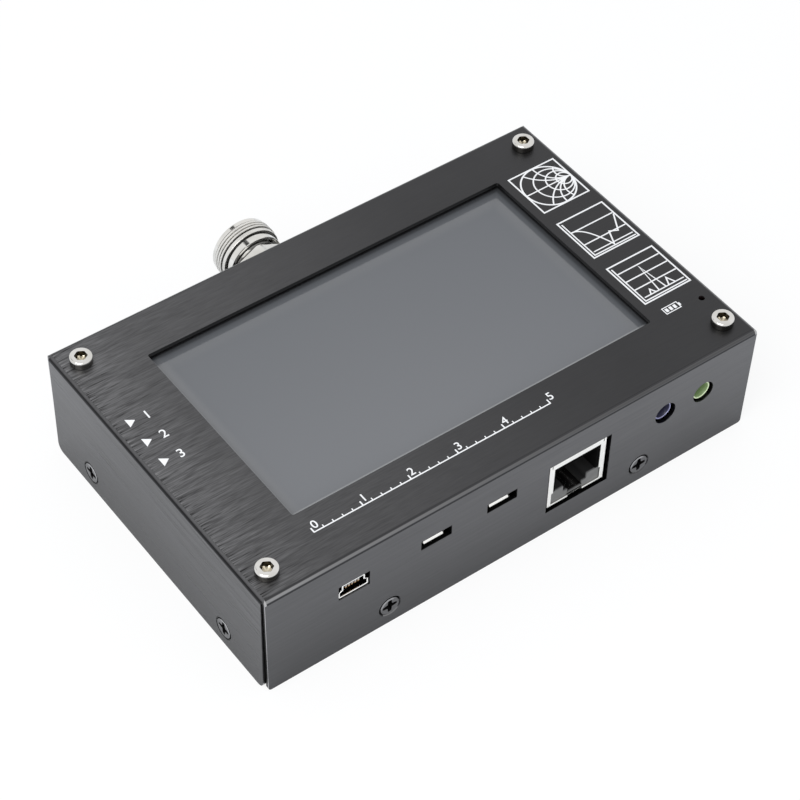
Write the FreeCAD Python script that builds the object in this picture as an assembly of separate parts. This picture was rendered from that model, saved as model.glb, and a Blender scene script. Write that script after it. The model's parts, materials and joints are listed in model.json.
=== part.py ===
import FreeCAD, Part
import math
import os

from FreeCAD import Rotation, Vector

# Antenna analyzer in a bent sheet-metal box, in millimetres.
# The origin is the centre of the underside: +X is right, +Y is back, +Z is up.
# The display faces up, the sockets are in the front wall, the antenna socket is in the back wall.

X_AXIS = Vector(1, 0, 0)
Y_AXIS = Vector(0, 1, 0)
Z_AXIS = Vector(0, 0, 1)
PAST = 1.0                      # how far a cutter runs past the face that it opens

# Case
case_w = 134.4                  # over the left and right walls
case_d = 85.4                   # over the front and back walls
case_h = 30.2                   # underside to the top face
sheet = 1.0
bend_inner_r = 0.2
seam_top = 0.35                 # front wall's end, in from the side wall's face, at the top
seam_bottom = 0.75              # the same at the bottom
seam_slit = 0.1                 # between a side wall's end and the front or back wall
side_wall_corner_r = 2.0
end_wall_corner_r = 0.8
tray_fit = 0.1                  # tray's walls inside the cover's walls
tray_wall_h = 8.8
tray_corner_relief = 1.3

# Window and display stack, from the glass down
window_w = 98.0
window_d = 56.4
window_y = 1.4
window_corner_r = 0.5
display_w = 105.5
display_d = 67.2
touch_t = 1.35
cell_t = 1.3
guide_t = 1.3
frame_floor_t = 0.3
frame_wall_t = 0.4
cell_gap = 0.1
tape_t = 0.5
tape_w = 4.0
gasket_inset = 1.2              # gasket's inner edge, back from the window's edge
gasket_w = 2.0

# Corner fixings
corner_screw_inset_x = 5.3
corner_screw_inset_y = 6.45
screw_r = 1.5                   # M3
screw_gap = 0.1
thread_fit = 0.03               # between a thread or pin and its bore
cap_head_r = 2.75
cap_head_h = 2.0
cap_head_chamfer = 0.25
cap_socket_af = 2.5
cap_socket_deep = 1.3
cap_screw_len = 12.0
spacer_len = 6.25
spacer_af = 5.5
nut_af = 5.5
nut_h = 2.4

# Wall screws and press nuts
end_screw_x = 34.9              # front and back, from the middle
end_screw_z = 5.6
side_screw_y = 26.8             # left and right, from the middle
side_screw_z = 5.2
flat_head_r = 2.8
flat_screw_len = 5.0
cross_w = 0.7
cross_len = 2.8
cross_deep = 1.0
press_nut_r = 2.8
press_nut_len = 2.0
tray_hole_r = 1.95

# Main board
board_t = 1.6
board_edge_gap = 0.7            # board to the inside of the walls
board_corner_r = 2.0
board_hole_gap = 0.2
small_part = (0.8, 1.6, 0.7)    # width, depth and height of a small resistor or capacitor
small_pitch = 2.3

# Mini USB socket: its wide side is away from the board
mini_x = 22.8                   # from the left wall's face
mini_w = 7.8
mini_top_w = 6.0
mini_h = 3.95
mini_len = 9.0
mini_wide_h = 1.9
mini_step_h = 0.45
mini_recess = 0.3               # behind the front face
mini_side_gap = 0.13
mini_height_gap = 0.4
mini_hole_rise = 0.2
mini_bend_r = 0.15
mini_plug_len = 2.7
mini_tongue_w = 4.0
mini_tongue_t = 0.8
mini_tongue_drop = 0.95         # under the board
mini_tongue_front = 1.2         # behind the shell's front
mini_strip_front = 1.4
mini_strip_pitch = 0.8
usb_wall = 0.3
usb_strip_w = 0.3
usb_strip_t = 0.12

# Micro USB sockets: their wide side is at the board
micro_xs = (44.3, 62.0)         # from the left wall's face
micro_w = 7.5
micro_low_w = 5.6
micro_h = 2.6
micro_len = 5.4
micro_wall_gap = 0.4            # shell's front, behind the wall
micro_wide_h = 1.3
micro_side_gap = 0.33
micro_height_gap = 0.25
micro_hole_rise = 0.17
micro_bend_r = 0.1
micro_plug_len = 1.62
micro_tongue_w = 3.8
micro_tongue_t = 0.55
micro_tongue_drop = 0.8
micro_tongue_front = 0.9
micro_strip_front = 1.0
micro_strip_pitch = 0.65
micro_lip_w = 5.2
micro_lip_drop = 0.75
micro_lip_len = 0.3
lip_t = 0.1                     # lip's thickness past its bend
ear_low = -0.9                  # side ears, from the board's underside
ear_h = 0.7

# Network socket: its latch is away from the board
network_x = 83.6                # from the left wall's face
network_w = 15.95
network_h = 13.45
network_len = 21.5
network_recess = 0.5
network_wall = 0.3
network_hole_gap = 0.82
network_hole_shift = 0.12
network_mouth_w = 12.2
network_mouth_low = 4.1         # mouth's underside, above the shield's underside
network_mouth_high = 11.1
network_lower_w = 13.9
network_lower_low = 1.2
network_latch_w = 4.1
network_key_w = 6.7
network_key_low = 2.35
network_cavity_len = 14.0
pipe_recess = 0.35              # light pipes, behind the shield's front
pipe_len = 12.0
tab_len = 3.5
tab_rise_len = 1.4
tab_h = 4.5
tab_out = 0.45
contact_count = 8
contact_pitch = 1.02
contact_r = 0.23
contact_front = 3.0             # where the contacts end, behind the shield's front
contact_drop = 1.6

# Audio jacks
line_in_x = 26.05               # from the right wall's face
line_out_x = 14.85
line_in_recess = 0.95
line_out_recess = 0.7
jack_axis_drop = 2.45           # axis under the board
jack_barrel_r = 2.45
jack_bore_r = 1.8
jack_rim_chamfer = 0.35
jack_hole_gap = 0.45
jack_body_w = 6.2
jack_body_h = 5.4
jack_body_len = 12.4
jack_body_recess = 1.8
jack_bore_len = 12.6
jack_spring_t = 0.3

# Stacking headers between the main board and the RF board
header_pitch = 2.54
socket_h = 5.75
strip_h = 2.0
pin_w = 0.64
pin_hole_w = 0.9
pin_rise = 6.0                  # pin's top above the RF board's top face
pin_tail = 0.7                  # pin's end under the RF board
front_row_y = -14.4
back_row_y = 24.0
headers = ((-34.5, front_row_y, 8), (-12.0, front_row_y, 6), (-34.5, back_row_y, 10), (0.5, back_row_y, 8))

# RF board
rf_left = -37.2
rf_w = 68.0
rf_front = -16.7
rf_d = 43.0
rf_t = 1.6
can_x = 16.0
can_y = 4.0
can_w = 24.0
can_d = 22.0
can_h = 3.5
can_wall = 0.3

# Antenna socket (type N), along +Y from the back wall's outer face
antenna_x = -5.2
antenna_z = 16.5
shank_r = 4.75
shank_in = 6.0
hex_af = 12.0
hex_len = 8.0
hex_corner_r = 6.6
neck_r = 5.3
ring_start = 9.1
ring_end = 10.9
ring_small_r = 6.95
ring_large_r = 7.25
relief_r = 6.4
thread_start = 12.0
thread_pitch = 1.058
thread_turns = 3
thread_flank = 0.4              # share of the pitch
thread_crest_r = 7.95
thread_root_r = 7.3
mouth_end = 16.4
mouth_land_r = 7.65
mouth_bevel = 0.4
mouth_bore_r = 4.3
mouth_bore_len = 9.0
insulator_r = 3.5
contact_sleeve_r = 1.5
contact_hole_r = 0.8
contact_hole_len = 4.0
contact_slot_w = 0.3
contact_tip = 11.4
contact_back = -4.0
contact_pin_r = 0.7
contact_pin_end = -8.4
antenna_hole_gap = 0.15
antenna_washer_r = 6.5
antenna_washer_t = 0.8
antenna_nut_af = 13.0
antenna_nut_t = 3.0
pigtail_d = 2.2
pigtail_core_r = 0.35
pigtail_core_len = 1.5
pigtail_jacket_gap = 0.8        # bare core in front of the contact's pin and behind the front header row
pigtail_straight = 2.6

# Power switch, in the back wall beside the antenna socket
switch_x = 5.3
switch_board_gap = 0.15         # its body under the main board
switch_tray_gap = 0.3
switch_body_w = 7.0
switch_body_len = 9.5
switch_body_h = 12.0
bushing_r = 3.175
bushing_bore_r = 2.15
bushing_out = 4.2               # beyond the wall's outer face
bushing_hole_gap = 0.15
switch_washer_r = 3.9
switch_washer_t = 0.5
switch_nut_af = 8.0
switch_nut_t = 2.0
pivot_out = 2.5
ball_r = 1.85
lever_len = 8.0
lever_root_r = 0.85
lever_tip_r = 1.15
lever_tail_r = 0.7
lever_tail_len = 2.6
lever_tilt = 12.5               # up from level, in degrees
terminal_pitch = 4.7
terminal_len = 3.5
terminal_w = 2.0
terminal_t = 0.7

# Battery
battery_w = 62.0
battery_d = 40.0
battery_h = 8.0
battery_edge_r = 2.5
battery_left_gap = 7.0          # from the inside of the left wall
battery_front_gap = 25.0        # from the inside of the front wall
battery_lead_y = 13.6           # leads' exit, from the cell's front
battery_tape_t = 0.8
battery_strip_w = 12.0
battery_strip_inset = 4.0
lead_d = 1.3
fine_lead_d = 1.2
lead_end_gap = 0.15             # a lead's end from the face that it is joined to

# Charging board, its port in the right wall
charge_w = 20.6
charge_d = 25.0
charge_t = 1.0
charge_overhang = 0.3           # over the tray's wall
charge_front = 12.0             # front edge, from the front face
charge_post_len = 10.0
charge_post_r = 2.0
charge_post_stub_r = 1.4
charge_post_stub_recess = 0.1   # above the underside
charge_screw_r = 1.0
charge_screw_len = 5.0
charge_head_r = 1.9
charge_head_h = 1.2
charge_cross_len = 2.0
charge_cross_w = 0.4
charge_post_spots = ((-18.2, 2.4), (-7.1, 2.4), (-18.2, 22.6), (-2.4, 22.6))   # from its front right corner
charge_port_y = 14.7            # port's axis, from the board's front edge
charge_port_gap = 0.4
charge_port_recess = 0.2        # inside the wall's inner face
battery_socket_y = 12.7         # from the board's front edge
battery_socket_w = 5.9
battery_socket_len = 7.6
battery_socket_h = 4.8
battery_socket_wall = 0.5
battery_socket_in = 0.5
plug_len = 6.6
plug_gap = 0.1
plug_in = 3.6

# Charging lamp under its hole in the top face
lamp_inset_x = 3.9              # from the right wall's face
lamp_inset_y = 15.05            # from the front wall's face
lamp_hole_r = 0.75
lamp_r = 1.5
lamp_flange_r = 1.9
lamp_flange_h = 1.0
lamp_body_h = 2.7
lamp_head_gap = 0.4             # lamp's top under the cover
lamp_lead_w = 0.5
lamp_lead_pitch = 2.54
lamp_notch_gap = 2.1

# Tact switches on the main board
tact_x = 8.1                    # from the left wall's face
tact_ys = {"reset": -8.0, "user": 6.0}
tact_w = 6.0
tact_base_h = 3.5
tact_plunger_r = 1.75
tact_plunger_gap = 0.15
tact_well_deep = 1.2
tact_plunger_in = 0.8
tact_plunger_out = 0.85

# Display ribbon and its connector
ribbon_x = -20.0
ribbon_w = 20.0
ribbon_t = 0.2
ribbon_reach = 2.4              # in front of the display
ribbon_bend_r = 0.8
ribbon_slot_gap = 0.5
ribbon_plug_w = 24.0
ribbon_plug_len = 5.0
ribbon_plug_h = 2.0
ribbon_plug_gap = 2.9           # behind the ribbon's front run
ribbon_in = 2.4

# Memory card and its socket
card_y = 13.5
card_w = 11.0
card_len = 15.0
card_t = 0.7
card_socket_w = 14.0
card_socket_len = 14.5
card_socket_h = 1.9
card_socket_wall = 0.3
card_socket_inset = 0.5         # from the main board's left edge

# Places that follow from the sizes above
bend_outer_r = bend_inner_r + sheet
micro_recess = sheet + micro_wall_gap
half_w = case_w / 2
half_d = case_d / 2
inner_x = half_w - sheet
inner_y = half_d - sheet
cover_under = case_h - sheet
board_top = cover_under - spacer_len
board_under = board_top - board_t
board_x = inner_x - board_edge_gap
board_y = inner_y - board_edge_gap
switch_z = board_under - switch_board_gap - switch_body_h / 2
tape_top = board_top + tape_t
guide_low = tape_top + frame_floor_t
cell_low = guide_low + guide_t
touch_low = cell_low + cell_t
touch_top = touch_low + touch_t
corner_x = half_w - corner_screw_inset_x
corner_y = half_d - corner_screw_inset_y
tray_x = inner_x - tray_fit
tray_y = inner_y - tray_fit
rf_top = board_under - socket_h - strip_h
rf_low = rf_top - rf_t
rf_back = rf_front + rf_d
battery_left = battery_left_gap - inner_x
battery_right = battery_left + battery_w
battery_front = battery_front_gap - inner_y
battery_low = sheet + battery_tape_t
charge_right = tray_x - sheet + charge_overhang
charge_left = charge_right - charge_w
charge_y = charge_front - half_d
charge_low = sheet + charge_post_len
charge_top = charge_low + charge_t
lamp_x = half_w - lamp_inset_x
lamp_y = lamp_inset_y - half_d
lamp_base = cover_under - lamp_head_gap - lamp_r - lamp_body_h - lamp_flange_h
ribbon_front = window_y - display_d / 2 - ribbon_reach


def block(x0, x1, y0, y1, z0, z1):
    """A box between two corners."""
    return Part.makeBox(x1 - x0, y1 - y0, z1 - z0, Vector(x0, y0, z0))


def slab(x, y, w, d, z0, z1):
    """A box by its middle, width, depth and its two heights."""
    return block(x - w / 2, x + w / 2, y - d / 2, y + d / 2, z0, z1)


def rod(start, axis, radius, length):
    """A cylinder from a point along an axis."""
    return Part.makeCylinder(radius, length, start, axis)


def prism(points, shift):
    """A flat outline drawn out by one vector."""
    outline = [Vector(*point) for point in points]
    face = Part.Face(Part.makePolygon(outline + outline[:1]))
    return face.extrude(shift)


def turned(profile):
    """A solid of revolution about Z from (radius, height) points."""
    points = [Vector(radius, 0, height) for radius, height in profile]
    face = Part.Face(Part.makePolygon(points + points[:1]))
    return face.revolve(Vector(), Z_AXIS, 360)


def hex_bar(across_flats, length):
    """A hexagonal bar from the origin along Z, flats towards +X and -X."""
    corner = across_flats / math.sqrt(3)
    angles = [math.radians(60 * step + 30) for step in range(6)]
    return prism([(corner * math.cos(a), corner * math.sin(a), 0) for a in angles], Z_AXIS * length)


def placed(shape, position, axis=Z_AXIS):
    """A copy of a shape with its own Z along an axis and its origin at a position."""
    copy = shape.copy()
    turn = Rotation(Z_AXIS, axis)
    copy.Placement = FreeCAD.Placement(position, turn).multiply(copy.Placement)
    return copy


def along_back(shape, position):
    """A copy of a shape with its own Z along +Y, its X kept."""
    copy = shape.copy()
    turn = Rotation(X_AXIS, -90)
    copy.Placement = FreeCAD.Placement(position, turn).multiply(copy.Placement)
    return copy


def fused(parts):
    """One solid from parts that meet."""
    return parts[0].fuse(parts[1:]).removeSplitter()


def group(parts):
    """Separate solids in one node."""
    return Part.makeCompound(parts)


def straight_edges(shape, axis):
    """The straight edges of a shape that run along an axis."""
    found = []
    for edge in shape.Edges:
        line = edge.Vertexes[-1].Point - edge.Vertexes[0].Point
        if line.Length > 0 and abs(line.normalize().dot(axis)) > 0.999:
            found.append(edge)
    return found


def level_edges(shape, z):
    """The edges of a shape that lie at one height."""
    return [edge for edge in shape.Edges if all(abs(v.Z - z) < 1e-6 for v in edge.Vertexes)]


def rounded_slab(x, y, w, d, z0, z1, radius):
    """A box with its four upright edges rounded."""
    body = slab(x, y, w, d, z0, z1)
    return body.makeFillet(radius, straight_edges(body, Z_AXIS))


def ring_slab(x, y, w, d, width, z0, z1):
    """A flat rectangular ring by its inner size and its width."""
    outer = slab(x, y, w + 2 * width, d + 2 * width, z0, z1)
    return outer.cut(slab(x, y, w, d, z0 - PAST, z1 + PAST))


def four_corners(x, y):
    """The four mirrored places of one corner."""
    return [(sx * x, sy * y) for sx in (-1, 1) for sy in (-1, 1)]


def lead(name, points, diameter):
    """A round lead of straight runs joined by arcs that take nine tenths of the shorter half run."""
    corners = [Vector(*point) for point in points]
    edges = []
    radii = []
    start = corners[0]
    for before, corner, after in zip(corners, corners[1:], corners[2:]):
        back = before - corner
        ahead = after - corner
        reach = 0.45 * min(back.Length, ahead.Length)
        back.normalize()
        ahead.normalize()
        half_turn = (math.pi - back.getAngle(ahead)) / 2
        radius = reach / math.tan(half_turn)
        radii.append(round(radius, 1))
        middle = (back + ahead).normalize() * (radius / math.cos(half_turn) - radius)
        edges.append(Part.LineSegment(start, corner + back * reach).toShape())
        edges.append(Part.Arc(corner + back * reach, corner + middle, corner + ahead * reach).toShape())
        start = corner + ahead * reach
    edges.append(Part.LineSegment(start, corners[-1]).toShape())
    path = Part.Wire(edges)
    section = Part.Wire(Part.Circle(corners[0], corners[1] - corners[0], diameter / 2).toShape())
    solid = path.makePipeShell([section], True, False)
    share = solid.Volume / (path.Length * math.pi * diameter ** 2 / 4)
    print(name, "length", round(path.Length, 1), "radii", radii, "volume share", round(share, 4))
    return solid


# Wall screw places: (point on the outer face, direction out of the case)
def wall_screw_places():
    """The eight wall screws, front and back first."""
    places = []
    for side in (-1, 1):
        for x in (-end_screw_x, end_screw_x):
            places.append((Vector(x, side * half_d, end_screw_z), Y_AXIS * side))
    for side in (-1, 1):
        for y in (-side_screw_y, side_screw_y):
            places.append((Vector(side * half_w, y, side_screw_z), X_AXIS * side))
    return places


def charge_post_places():
    """The four posts of the charging board."""
    return [(charge_right + dx, charge_y + dy) for dx, dy in charge_post_spots]


def jacks():
    """Each audio jack's axis and how far its rim lies behind the front face."""
    return {"line_in": (half_w - line_in_x, line_in_recess),
            "line_out": (half_w - line_out_x, line_out_recess)}


def front_openings():
    """Cutters for the sockets in the front wall."""
    y0 = -half_d - PAST
    y1 = -inner_y + PAST
    cutters = []
    mini_mid = board_under - mini_h / 2 + mini_hole_rise
    mini_high = (mini_h + mini_height_gap) / 2
    mini_side = mini_w / 2 + mini_side_gap
    x = mini_x - half_w
    cutters.append(block(x - mini_side, x + mini_side, y0, y1, mini_mid - mini_high, mini_mid + mini_high))
    micro_mid = board_under - micro_h / 2 + micro_hole_rise
    micro_high = (micro_h + micro_height_gap) / 2
    micro_side = micro_w / 2 + micro_side_gap
    for place in micro_xs:
        x = place - half_w
        cutters.append(block(x - micro_side, x + micro_side, y0, y1, micro_mid - micro_high,
                             micro_mid + micro_high))
    x = network_x - half_w + network_hole_shift
    side = network_w / 2 + network_hole_gap
    low = board_under - network_h - network_hole_gap
    cutters.append(block(x - side, x + side, y0, y1, low, board_under + network_hole_gap))
    for x, recess in jacks().values():
        centre = Vector(x, y0, board_under - jack_axis_drop)
        cutters.append(rod(centre, Y_AXIS, jack_barrel_r + jack_hole_gap, y1 - y0))
    return cutters


def back_openings():
    """Cutters for the antenna socket and the switch in the back wall."""
    y0 = inner_y - PAST
    length = sheet + 2 * PAST
    antenna = rod(Vector(antenna_x, y0, antenna_z), Y_AXIS, shank_r + antenna_hole_gap, length)
    switch = rod(Vector(switch_x, y0, switch_z), Y_AXIS, bushing_r + bushing_hole_gap, length)
    return [antenna, switch]


def charge_port_opening():
    """Cutter for the charging port in the right wall."""
    y = charge_y + charge_port_y
    side = micro_w / 2 + charge_port_gap
    low = charge_top - charge_port_gap
    high = charge_top + micro_h + charge_port_gap
    return block(inner_x - PAST, half_w + PAST, y - side, y + side, low, high)


def seam_cutters():
    """The slits and tapered ends where the walls meet at the four upright corners."""
    cutters = []
    for sx, sy in four_corners(1, 1):
        outline = [(sx * (half_w + PAST), 0, 0), (sx * (half_w - seam_bottom), 0, 0),
                   (sx * (half_w - seam_top), 0, case_h), (sx * (half_w + PAST), 0, case_h)]
        wedge = prism(outline, Y_AXIS * (sy * (sheet + seam_slit + PAST)))
        wedge.translate(Vector(0, sy * (half_d - sheet - seam_slit), 0))
        cutters.append(wedge)
        slit_top = case_h - bend_outer_r
        x0, x1 = sorted((sx * (inner_x - PAST), sx * (half_w + PAST)))
        y0, y1 = sorted((sy * inner_y, sy * (inner_y - seam_slit)))
        cutters.append(block(x0, x1, y0, y1, -PAST, slit_top))
    return cutters


def wall_corner_edges(shell):
    """Bottom corner edges of the walls: the side walls' and the end walls'."""
    side = []
    end = []
    for edge in shell.Edges:
        low = all(abs(vertex.Z) < 1e-6 for vertex in edge.Vertexes)
        if not low or abs(edge.Length - sheet) > 0.02:
            continue
        middle = edge.CenterOfMass
        if abs(abs(middle.y) - (inner_y - seam_slit)) < 1e-4 and abs(middle.x) > inner_x:
            side.append(edge)
        if abs(abs(middle.x) - (half_w - seam_bottom)) < 1e-4 and abs(middle.y) > inner_y:
            end.append(edge)
    return side, end


def top_cover():
    """The bent cover: top face, four walls, window, socket holes and countersunk screw holes."""
    outer = block(-half_w, half_w, -half_d, half_d, 0, case_h)
    outer = outer.makeFillet(bend_outer_r, level_edges(outer, case_h))
    inner = block(-inner_x, inner_x, -inner_y, inner_y, -PAST, cover_under)
    inner = inner.makeFillet(bend_inner_r, level_edges(inner, cover_under))
    shell = outer.cut(inner).cut(seam_cutters()).removeSplitter()
    side, end = wall_corner_edges(shell)
    shell = shell.makeFillet(side_wall_corner_r, side)
    side, end = wall_corner_edges(shell)
    shell = shell.makeFillet(end_wall_corner_r, end)
    cutters = [rounded_slab(0, window_y, window_w, window_d, cover_under - PAST, case_h + PAST,
                            window_corner_r)]
    for x, y in four_corners(corner_x, corner_y):
        cutters.append(rod(Vector(x, y, cover_under - PAST), Z_AXIS, screw_r + screw_gap, sheet + 2 * PAST))
    cutters.append(rod(Vector(lamp_x, lamp_y, cover_under - PAST), Z_AXIS, lamp_hole_r, sheet + 2 * PAST))
    for point, outward in wall_screw_places():
        wide = flat_head_r + screw_gap
        cutters.append(Part.makeCone(wide, wide - 2 * sheet, 2 * sheet, point, outward * -1))
    cutters += front_openings() + back_openings()
    cutters.append(charge_port_opening())
    return shell.cut(cutters).removeSplitter()


def bottom_tray():
    """The bottom cover: a floor with four low walls inside the cover's walls."""
    outer = block(-tray_x, tray_x, -tray_y, tray_y, 0, tray_wall_h)
    outer = outer.makeFillet(bend_outer_r, level_edges(outer, 0))
    inner = block(sheet - tray_x, tray_x - sheet, sheet - tray_y, tray_y - sheet, sheet, tray_wall_h + PAST)
    inner = inner.makeFillet(bend_inner_r, level_edges(inner, sheet))
    cutters = [inner]
    for x, y in four_corners(tray_x, tray_y):
        cutters.append(slab(x, y, 2 * tray_corner_relief, 2 * tray_corner_relief, -PAST, tray_wall_h + PAST))
    for point, outward in wall_screw_places():
        cutters.append(rod(point, outward * -1, tray_hole_r, sheet * 3))
    for x, y in charge_post_places():
        cutters.append(rod(Vector(x, y, -PAST), Z_AXIS, charge_post_stub_r, sheet + 2 * PAST))
    side = network_w / 2 + network_hole_gap
    x = network_x - half_w
    low = board_under - network_h - network_hole_gap
    high = tray_wall_h + PAST
    cutters.append(block(x - side, x + side, -half_d, sheet * 2 - tray_y, low, high))
    side = switch_body_w / 2 + switch_tray_gap
    low = min(switch_z - switch_body_h / 2 - switch_tray_gap, tray_wall_h)
    cutters.append(block(switch_x - side, switch_x + side, tray_y - sheet * 2, half_d, low, high))
    return outer.cut(cutters).removeSplitter()


def flat_screw():
    """A countersunk cross-recess screw, its head's top at the origin and its shank along -Z."""
    cone_h = flat_head_r - screw_r
    profile = [(0, 0), (flat_head_r, 0), (screw_r, -cone_h), (screw_r, -flat_screw_len), (0, -flat_screw_len)]
    body = turned(profile)
    cross = [slab(0, 0, w, d, -cross_deep, PAST) for w, d in ((cross_len, cross_w), (cross_w, cross_len))]
    return body.cut(cross)


def cover_screws():
    """The eight screws in the walls."""
    return group([placed(flat_screw(), point, outward) for point, outward in wall_screw_places()])


def press_nuts():
    """The eight nuts pressed into the tray's walls."""
    nuts = []
    depth = sheet + tray_fit
    for point, outward in wall_screw_places():
        inward = outward * -1
        body = rod(point + inward * (depth + sheet), inward, press_nut_r, press_nut_len)
        collar = rod(point + inward * (depth + sheet / 2), inward, tray_hole_r, sheet / 2)
        bore = rod(point, inward, screw_r + thread_fit, flat_screw_len + PAST)
        nuts.append(fused([body, collar]).cut(bore))
    return group(nuts)


def cap_screws():
    """The four socket-head screws in the top face."""
    profile = [(0, cap_head_h), (cap_head_r - cap_head_chamfer, cap_head_h),
               (cap_head_r, cap_head_h - cap_head_chamfer), (cap_head_r, 0), (screw_r, 0),
               (screw_r, -cap_screw_len), (0, -cap_screw_len)]
    socket = hex_bar(cap_socket_af, cap_socket_deep + PAST)
    socket.translate(Vector(0, 0, cap_head_h - cap_socket_deep))
    screw = turned(profile).cut(socket)
    return group([placed(screw, Vector(x, y, case_h)) for x, y in four_corners(corner_x, corner_y)])


def corner_posts(across_flats, bore_r, low, high):
    """Four hexagonal pieces on the corner screws."""
    bore = rod(Vector(0, 0, -PAST), Z_AXIS, bore_r, high - low + 2 * PAST)
    post = hex_bar(across_flats, high - low).cut(bore)
    return group([placed(post, Vector(x, y, low)) for x, y in four_corners(corner_x, corner_y)])


def corner_spacers():
    """The spacers between the cover and the main board."""
    return corner_posts(spacer_af, screw_r + screw_gap, board_top, cover_under)


def corner_nuts():
    """The nuts under the main board."""
    return corner_posts(nut_af, screw_r + thread_fit, board_under - nut_h, board_under)


def window_gasket():
    """The foam strip between the cover and the touch glass."""
    w = window_w + 2 * gasket_inset
    d = window_d + 2 * gasket_inset
    return ring_slab(0, window_y, w, d, gasket_w, touch_top, cover_under)


def touch_panel():
    """The touch glass."""
    return rounded_slab(0, window_y, display_w, display_d, touch_low, touch_top, window_corner_r)


def lcd_cell():
    """The liquid-crystal cell."""
    shrink = 2 * (frame_wall_t + cell_gap)
    return slab(0, window_y, display_w - shrink, display_d - shrink, cell_low, touch_low)


def light_guide():
    """The backlight's light guide."""
    shrink = 2 * (frame_wall_t + cell_gap)
    return slab(0, window_y, display_w - shrink, display_d - shrink, guide_low, cell_low)


def lcd_frame():
    """The display's steel frame."""
    outer = slab(0, window_y, display_w, display_d, tape_top, touch_low)
    shrink = 2 * frame_wall_t
    inner = slab(0, window_y, display_w - shrink, display_d - shrink, guide_low, touch_low + PAST)
    return outer.cut(inner)


def display_tape():
    """The adhesive ring under the display."""
    return ring_slab(0, window_y, display_w - 2 * tape_w, display_d - 2 * tape_w, tape_w, board_top, tape_top)


def ribbon_levels():
    """The display ribbon's upper and lower runs."""
    upper = guide_low + ribbon_t
    lower = board_under - ribbon_plug_h / 2
    return upper, lower


def display_ribbon():
    """The display's ribbon: forward, down through the board's slot and back to its connector."""
    upper, lower = ribbon_levels()
    back = window_y - display_d / 2
    end = ribbon_front + ribbon_plug_gap + ribbon_in
    x = ribbon_x - ribbon_w / 2
    outline = [(x, back, upper + ribbon_t), (x, ribbon_front, upper + ribbon_t),
               (x, ribbon_front, lower - ribbon_t), (x, end, lower - ribbon_t), (x, end, lower),
               (x, ribbon_front + ribbon_t, lower), (x, ribbon_front + ribbon_t, upper), (x, back, upper)]
    band = prism(outline, X_AXIS * ribbon_w)
    for y, radius in ((ribbon_front, ribbon_bend_r), (ribbon_front + ribbon_t, ribbon_bend_r - ribbon_t)):
        bends = [edge for edge in straight_edges(band, X_AXIS) if abs(edge.CenterOfMass.y - y) < 1e-6]
        band = band.makeFillet(radius, bends)
    return band


def ribbon_connector():
    """The ribbon's connector under the main board."""
    upper, lower = ribbon_levels()
    front = ribbon_front + ribbon_plug_gap
    back = front + ribbon_plug_len
    half = ribbon_plug_w / 2
    body = block(ribbon_x - half, ribbon_x + half, front, back, board_under - ribbon_plug_h, board_under)
    mouth_half = ribbon_w / 2 + ribbon_t
    mouth = block(ribbon_x - mouth_half, ribbon_x + mouth_half, front - PAST, front + ribbon_in + ribbon_t,
                  lower - ribbon_t, lower)
    return body.cut(mouth)


def main_board():
    """The main board with its holes, notches and the ribbon's slot."""
    body = rounded_slab(0, 0, 2 * board_x, 2 * board_y, board_under, board_top, board_corner_r)
    z0 = board_under - PAST
    z1 = board_top + PAST
    cutters = []
    for x, y in four_corners(corner_x, corner_y):
        cutters.append(rod(Vector(x, y, z0), Z_AXIS, screw_r + board_hole_gap, z1 - z0))
    nut_half = antenna_nut_af / 2 + 2 * board_edge_gap
    notch_front = inner_y - antenna_washer_t - antenna_nut_t - 2 * board_edge_gap
    cutters.append(block(antenna_x - nut_half, antenna_x + nut_half, notch_front - PAST, half_d, z0, z1))
    notch = lamp_flange_r + lamp_notch_gap
    cutters.append(block(lamp_x - notch, half_w, lamp_y - notch, lamp_y + notch, z0, z1))
    half = ribbon_w / 2 + ribbon_slot_gap
    cutters.append(block(ribbon_x - half, ribbon_x + half, ribbon_front - ribbon_slot_gap,
                         ribbon_front + ribbon_t + ribbon_slot_gap, z0, z1))
    return body.cut(cutters)


def chips(places, face_z, side):
    """Flat packages on a board's face: x, y, width, depth and height of each."""
    solids = []
    for x, y, w, d, h in places:
        z0, z1 = sorted((face_z, face_z + side * h))
        solids.append(slab(x, y, w, d, z0, z1))
    return solids


def main_board_parts():
    """Processor, memories and interface chips under the main board, with rows of small parts."""
    network_mid = network_x - half_w
    network_back = network_recess - half_d + network_len
    mini_back = mini_recess - half_d + mini_len
    jack_back = jack_body_recess - half_d + jack_body_len
    places = [(-10, 2, 13, 13, 1.0), (8, 6, 8, 13, 1.1), (-28, 4, 6, 5, 1.7), (-10, -8.4, 3.2, 2.5, 0.8),
              (34, 8, 5, 4, 1.6), (-48, 28, 5, 6, 1.7), (24, 30.5, 4, 5, 1.2),
              (network_mid + 13.6, network_back - 3.8, 4, 4, 0.9),
              (network_mid - 19.4, network_back - 1.8, 5, 5, 0.9),
              (mini_x - half_w - 0.6, mini_back + 11.4, 7, 7, 1.5),
              (half_w - line_in_x + 5.85, jack_back + 7.5, 5, 5, 0.9)]
    rows = ((-18, 11.5), (-18, -5.6), (13.0 - board_x, mini_back + 17.9), (board_x - 26.5, jack_back + 13.5))
    for row_x, row_y in rows:
        for column in range(8):
            places.append((row_x + column * small_pitch, row_y) + small_part)
    return group(chips(places, board_under, -1))


def card_socket():
    """The memory card's socket, open to the left."""
    left = card_socket_inset - board_x
    right = left + card_socket_len
    low = board_under - card_socket_h
    body = block(left, right, card_y - card_socket_w / 2, card_y + card_socket_w / 2, low, board_under)
    half = card_w / 2 + cell_gap
    middle = board_under - card_socket_h / 2
    high = card_t / 2 + cell_gap
    return body.cut(block(left - PAST, right - card_socket_wall, card_y - half, card_y + half,
                          middle - high, middle + high))


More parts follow.
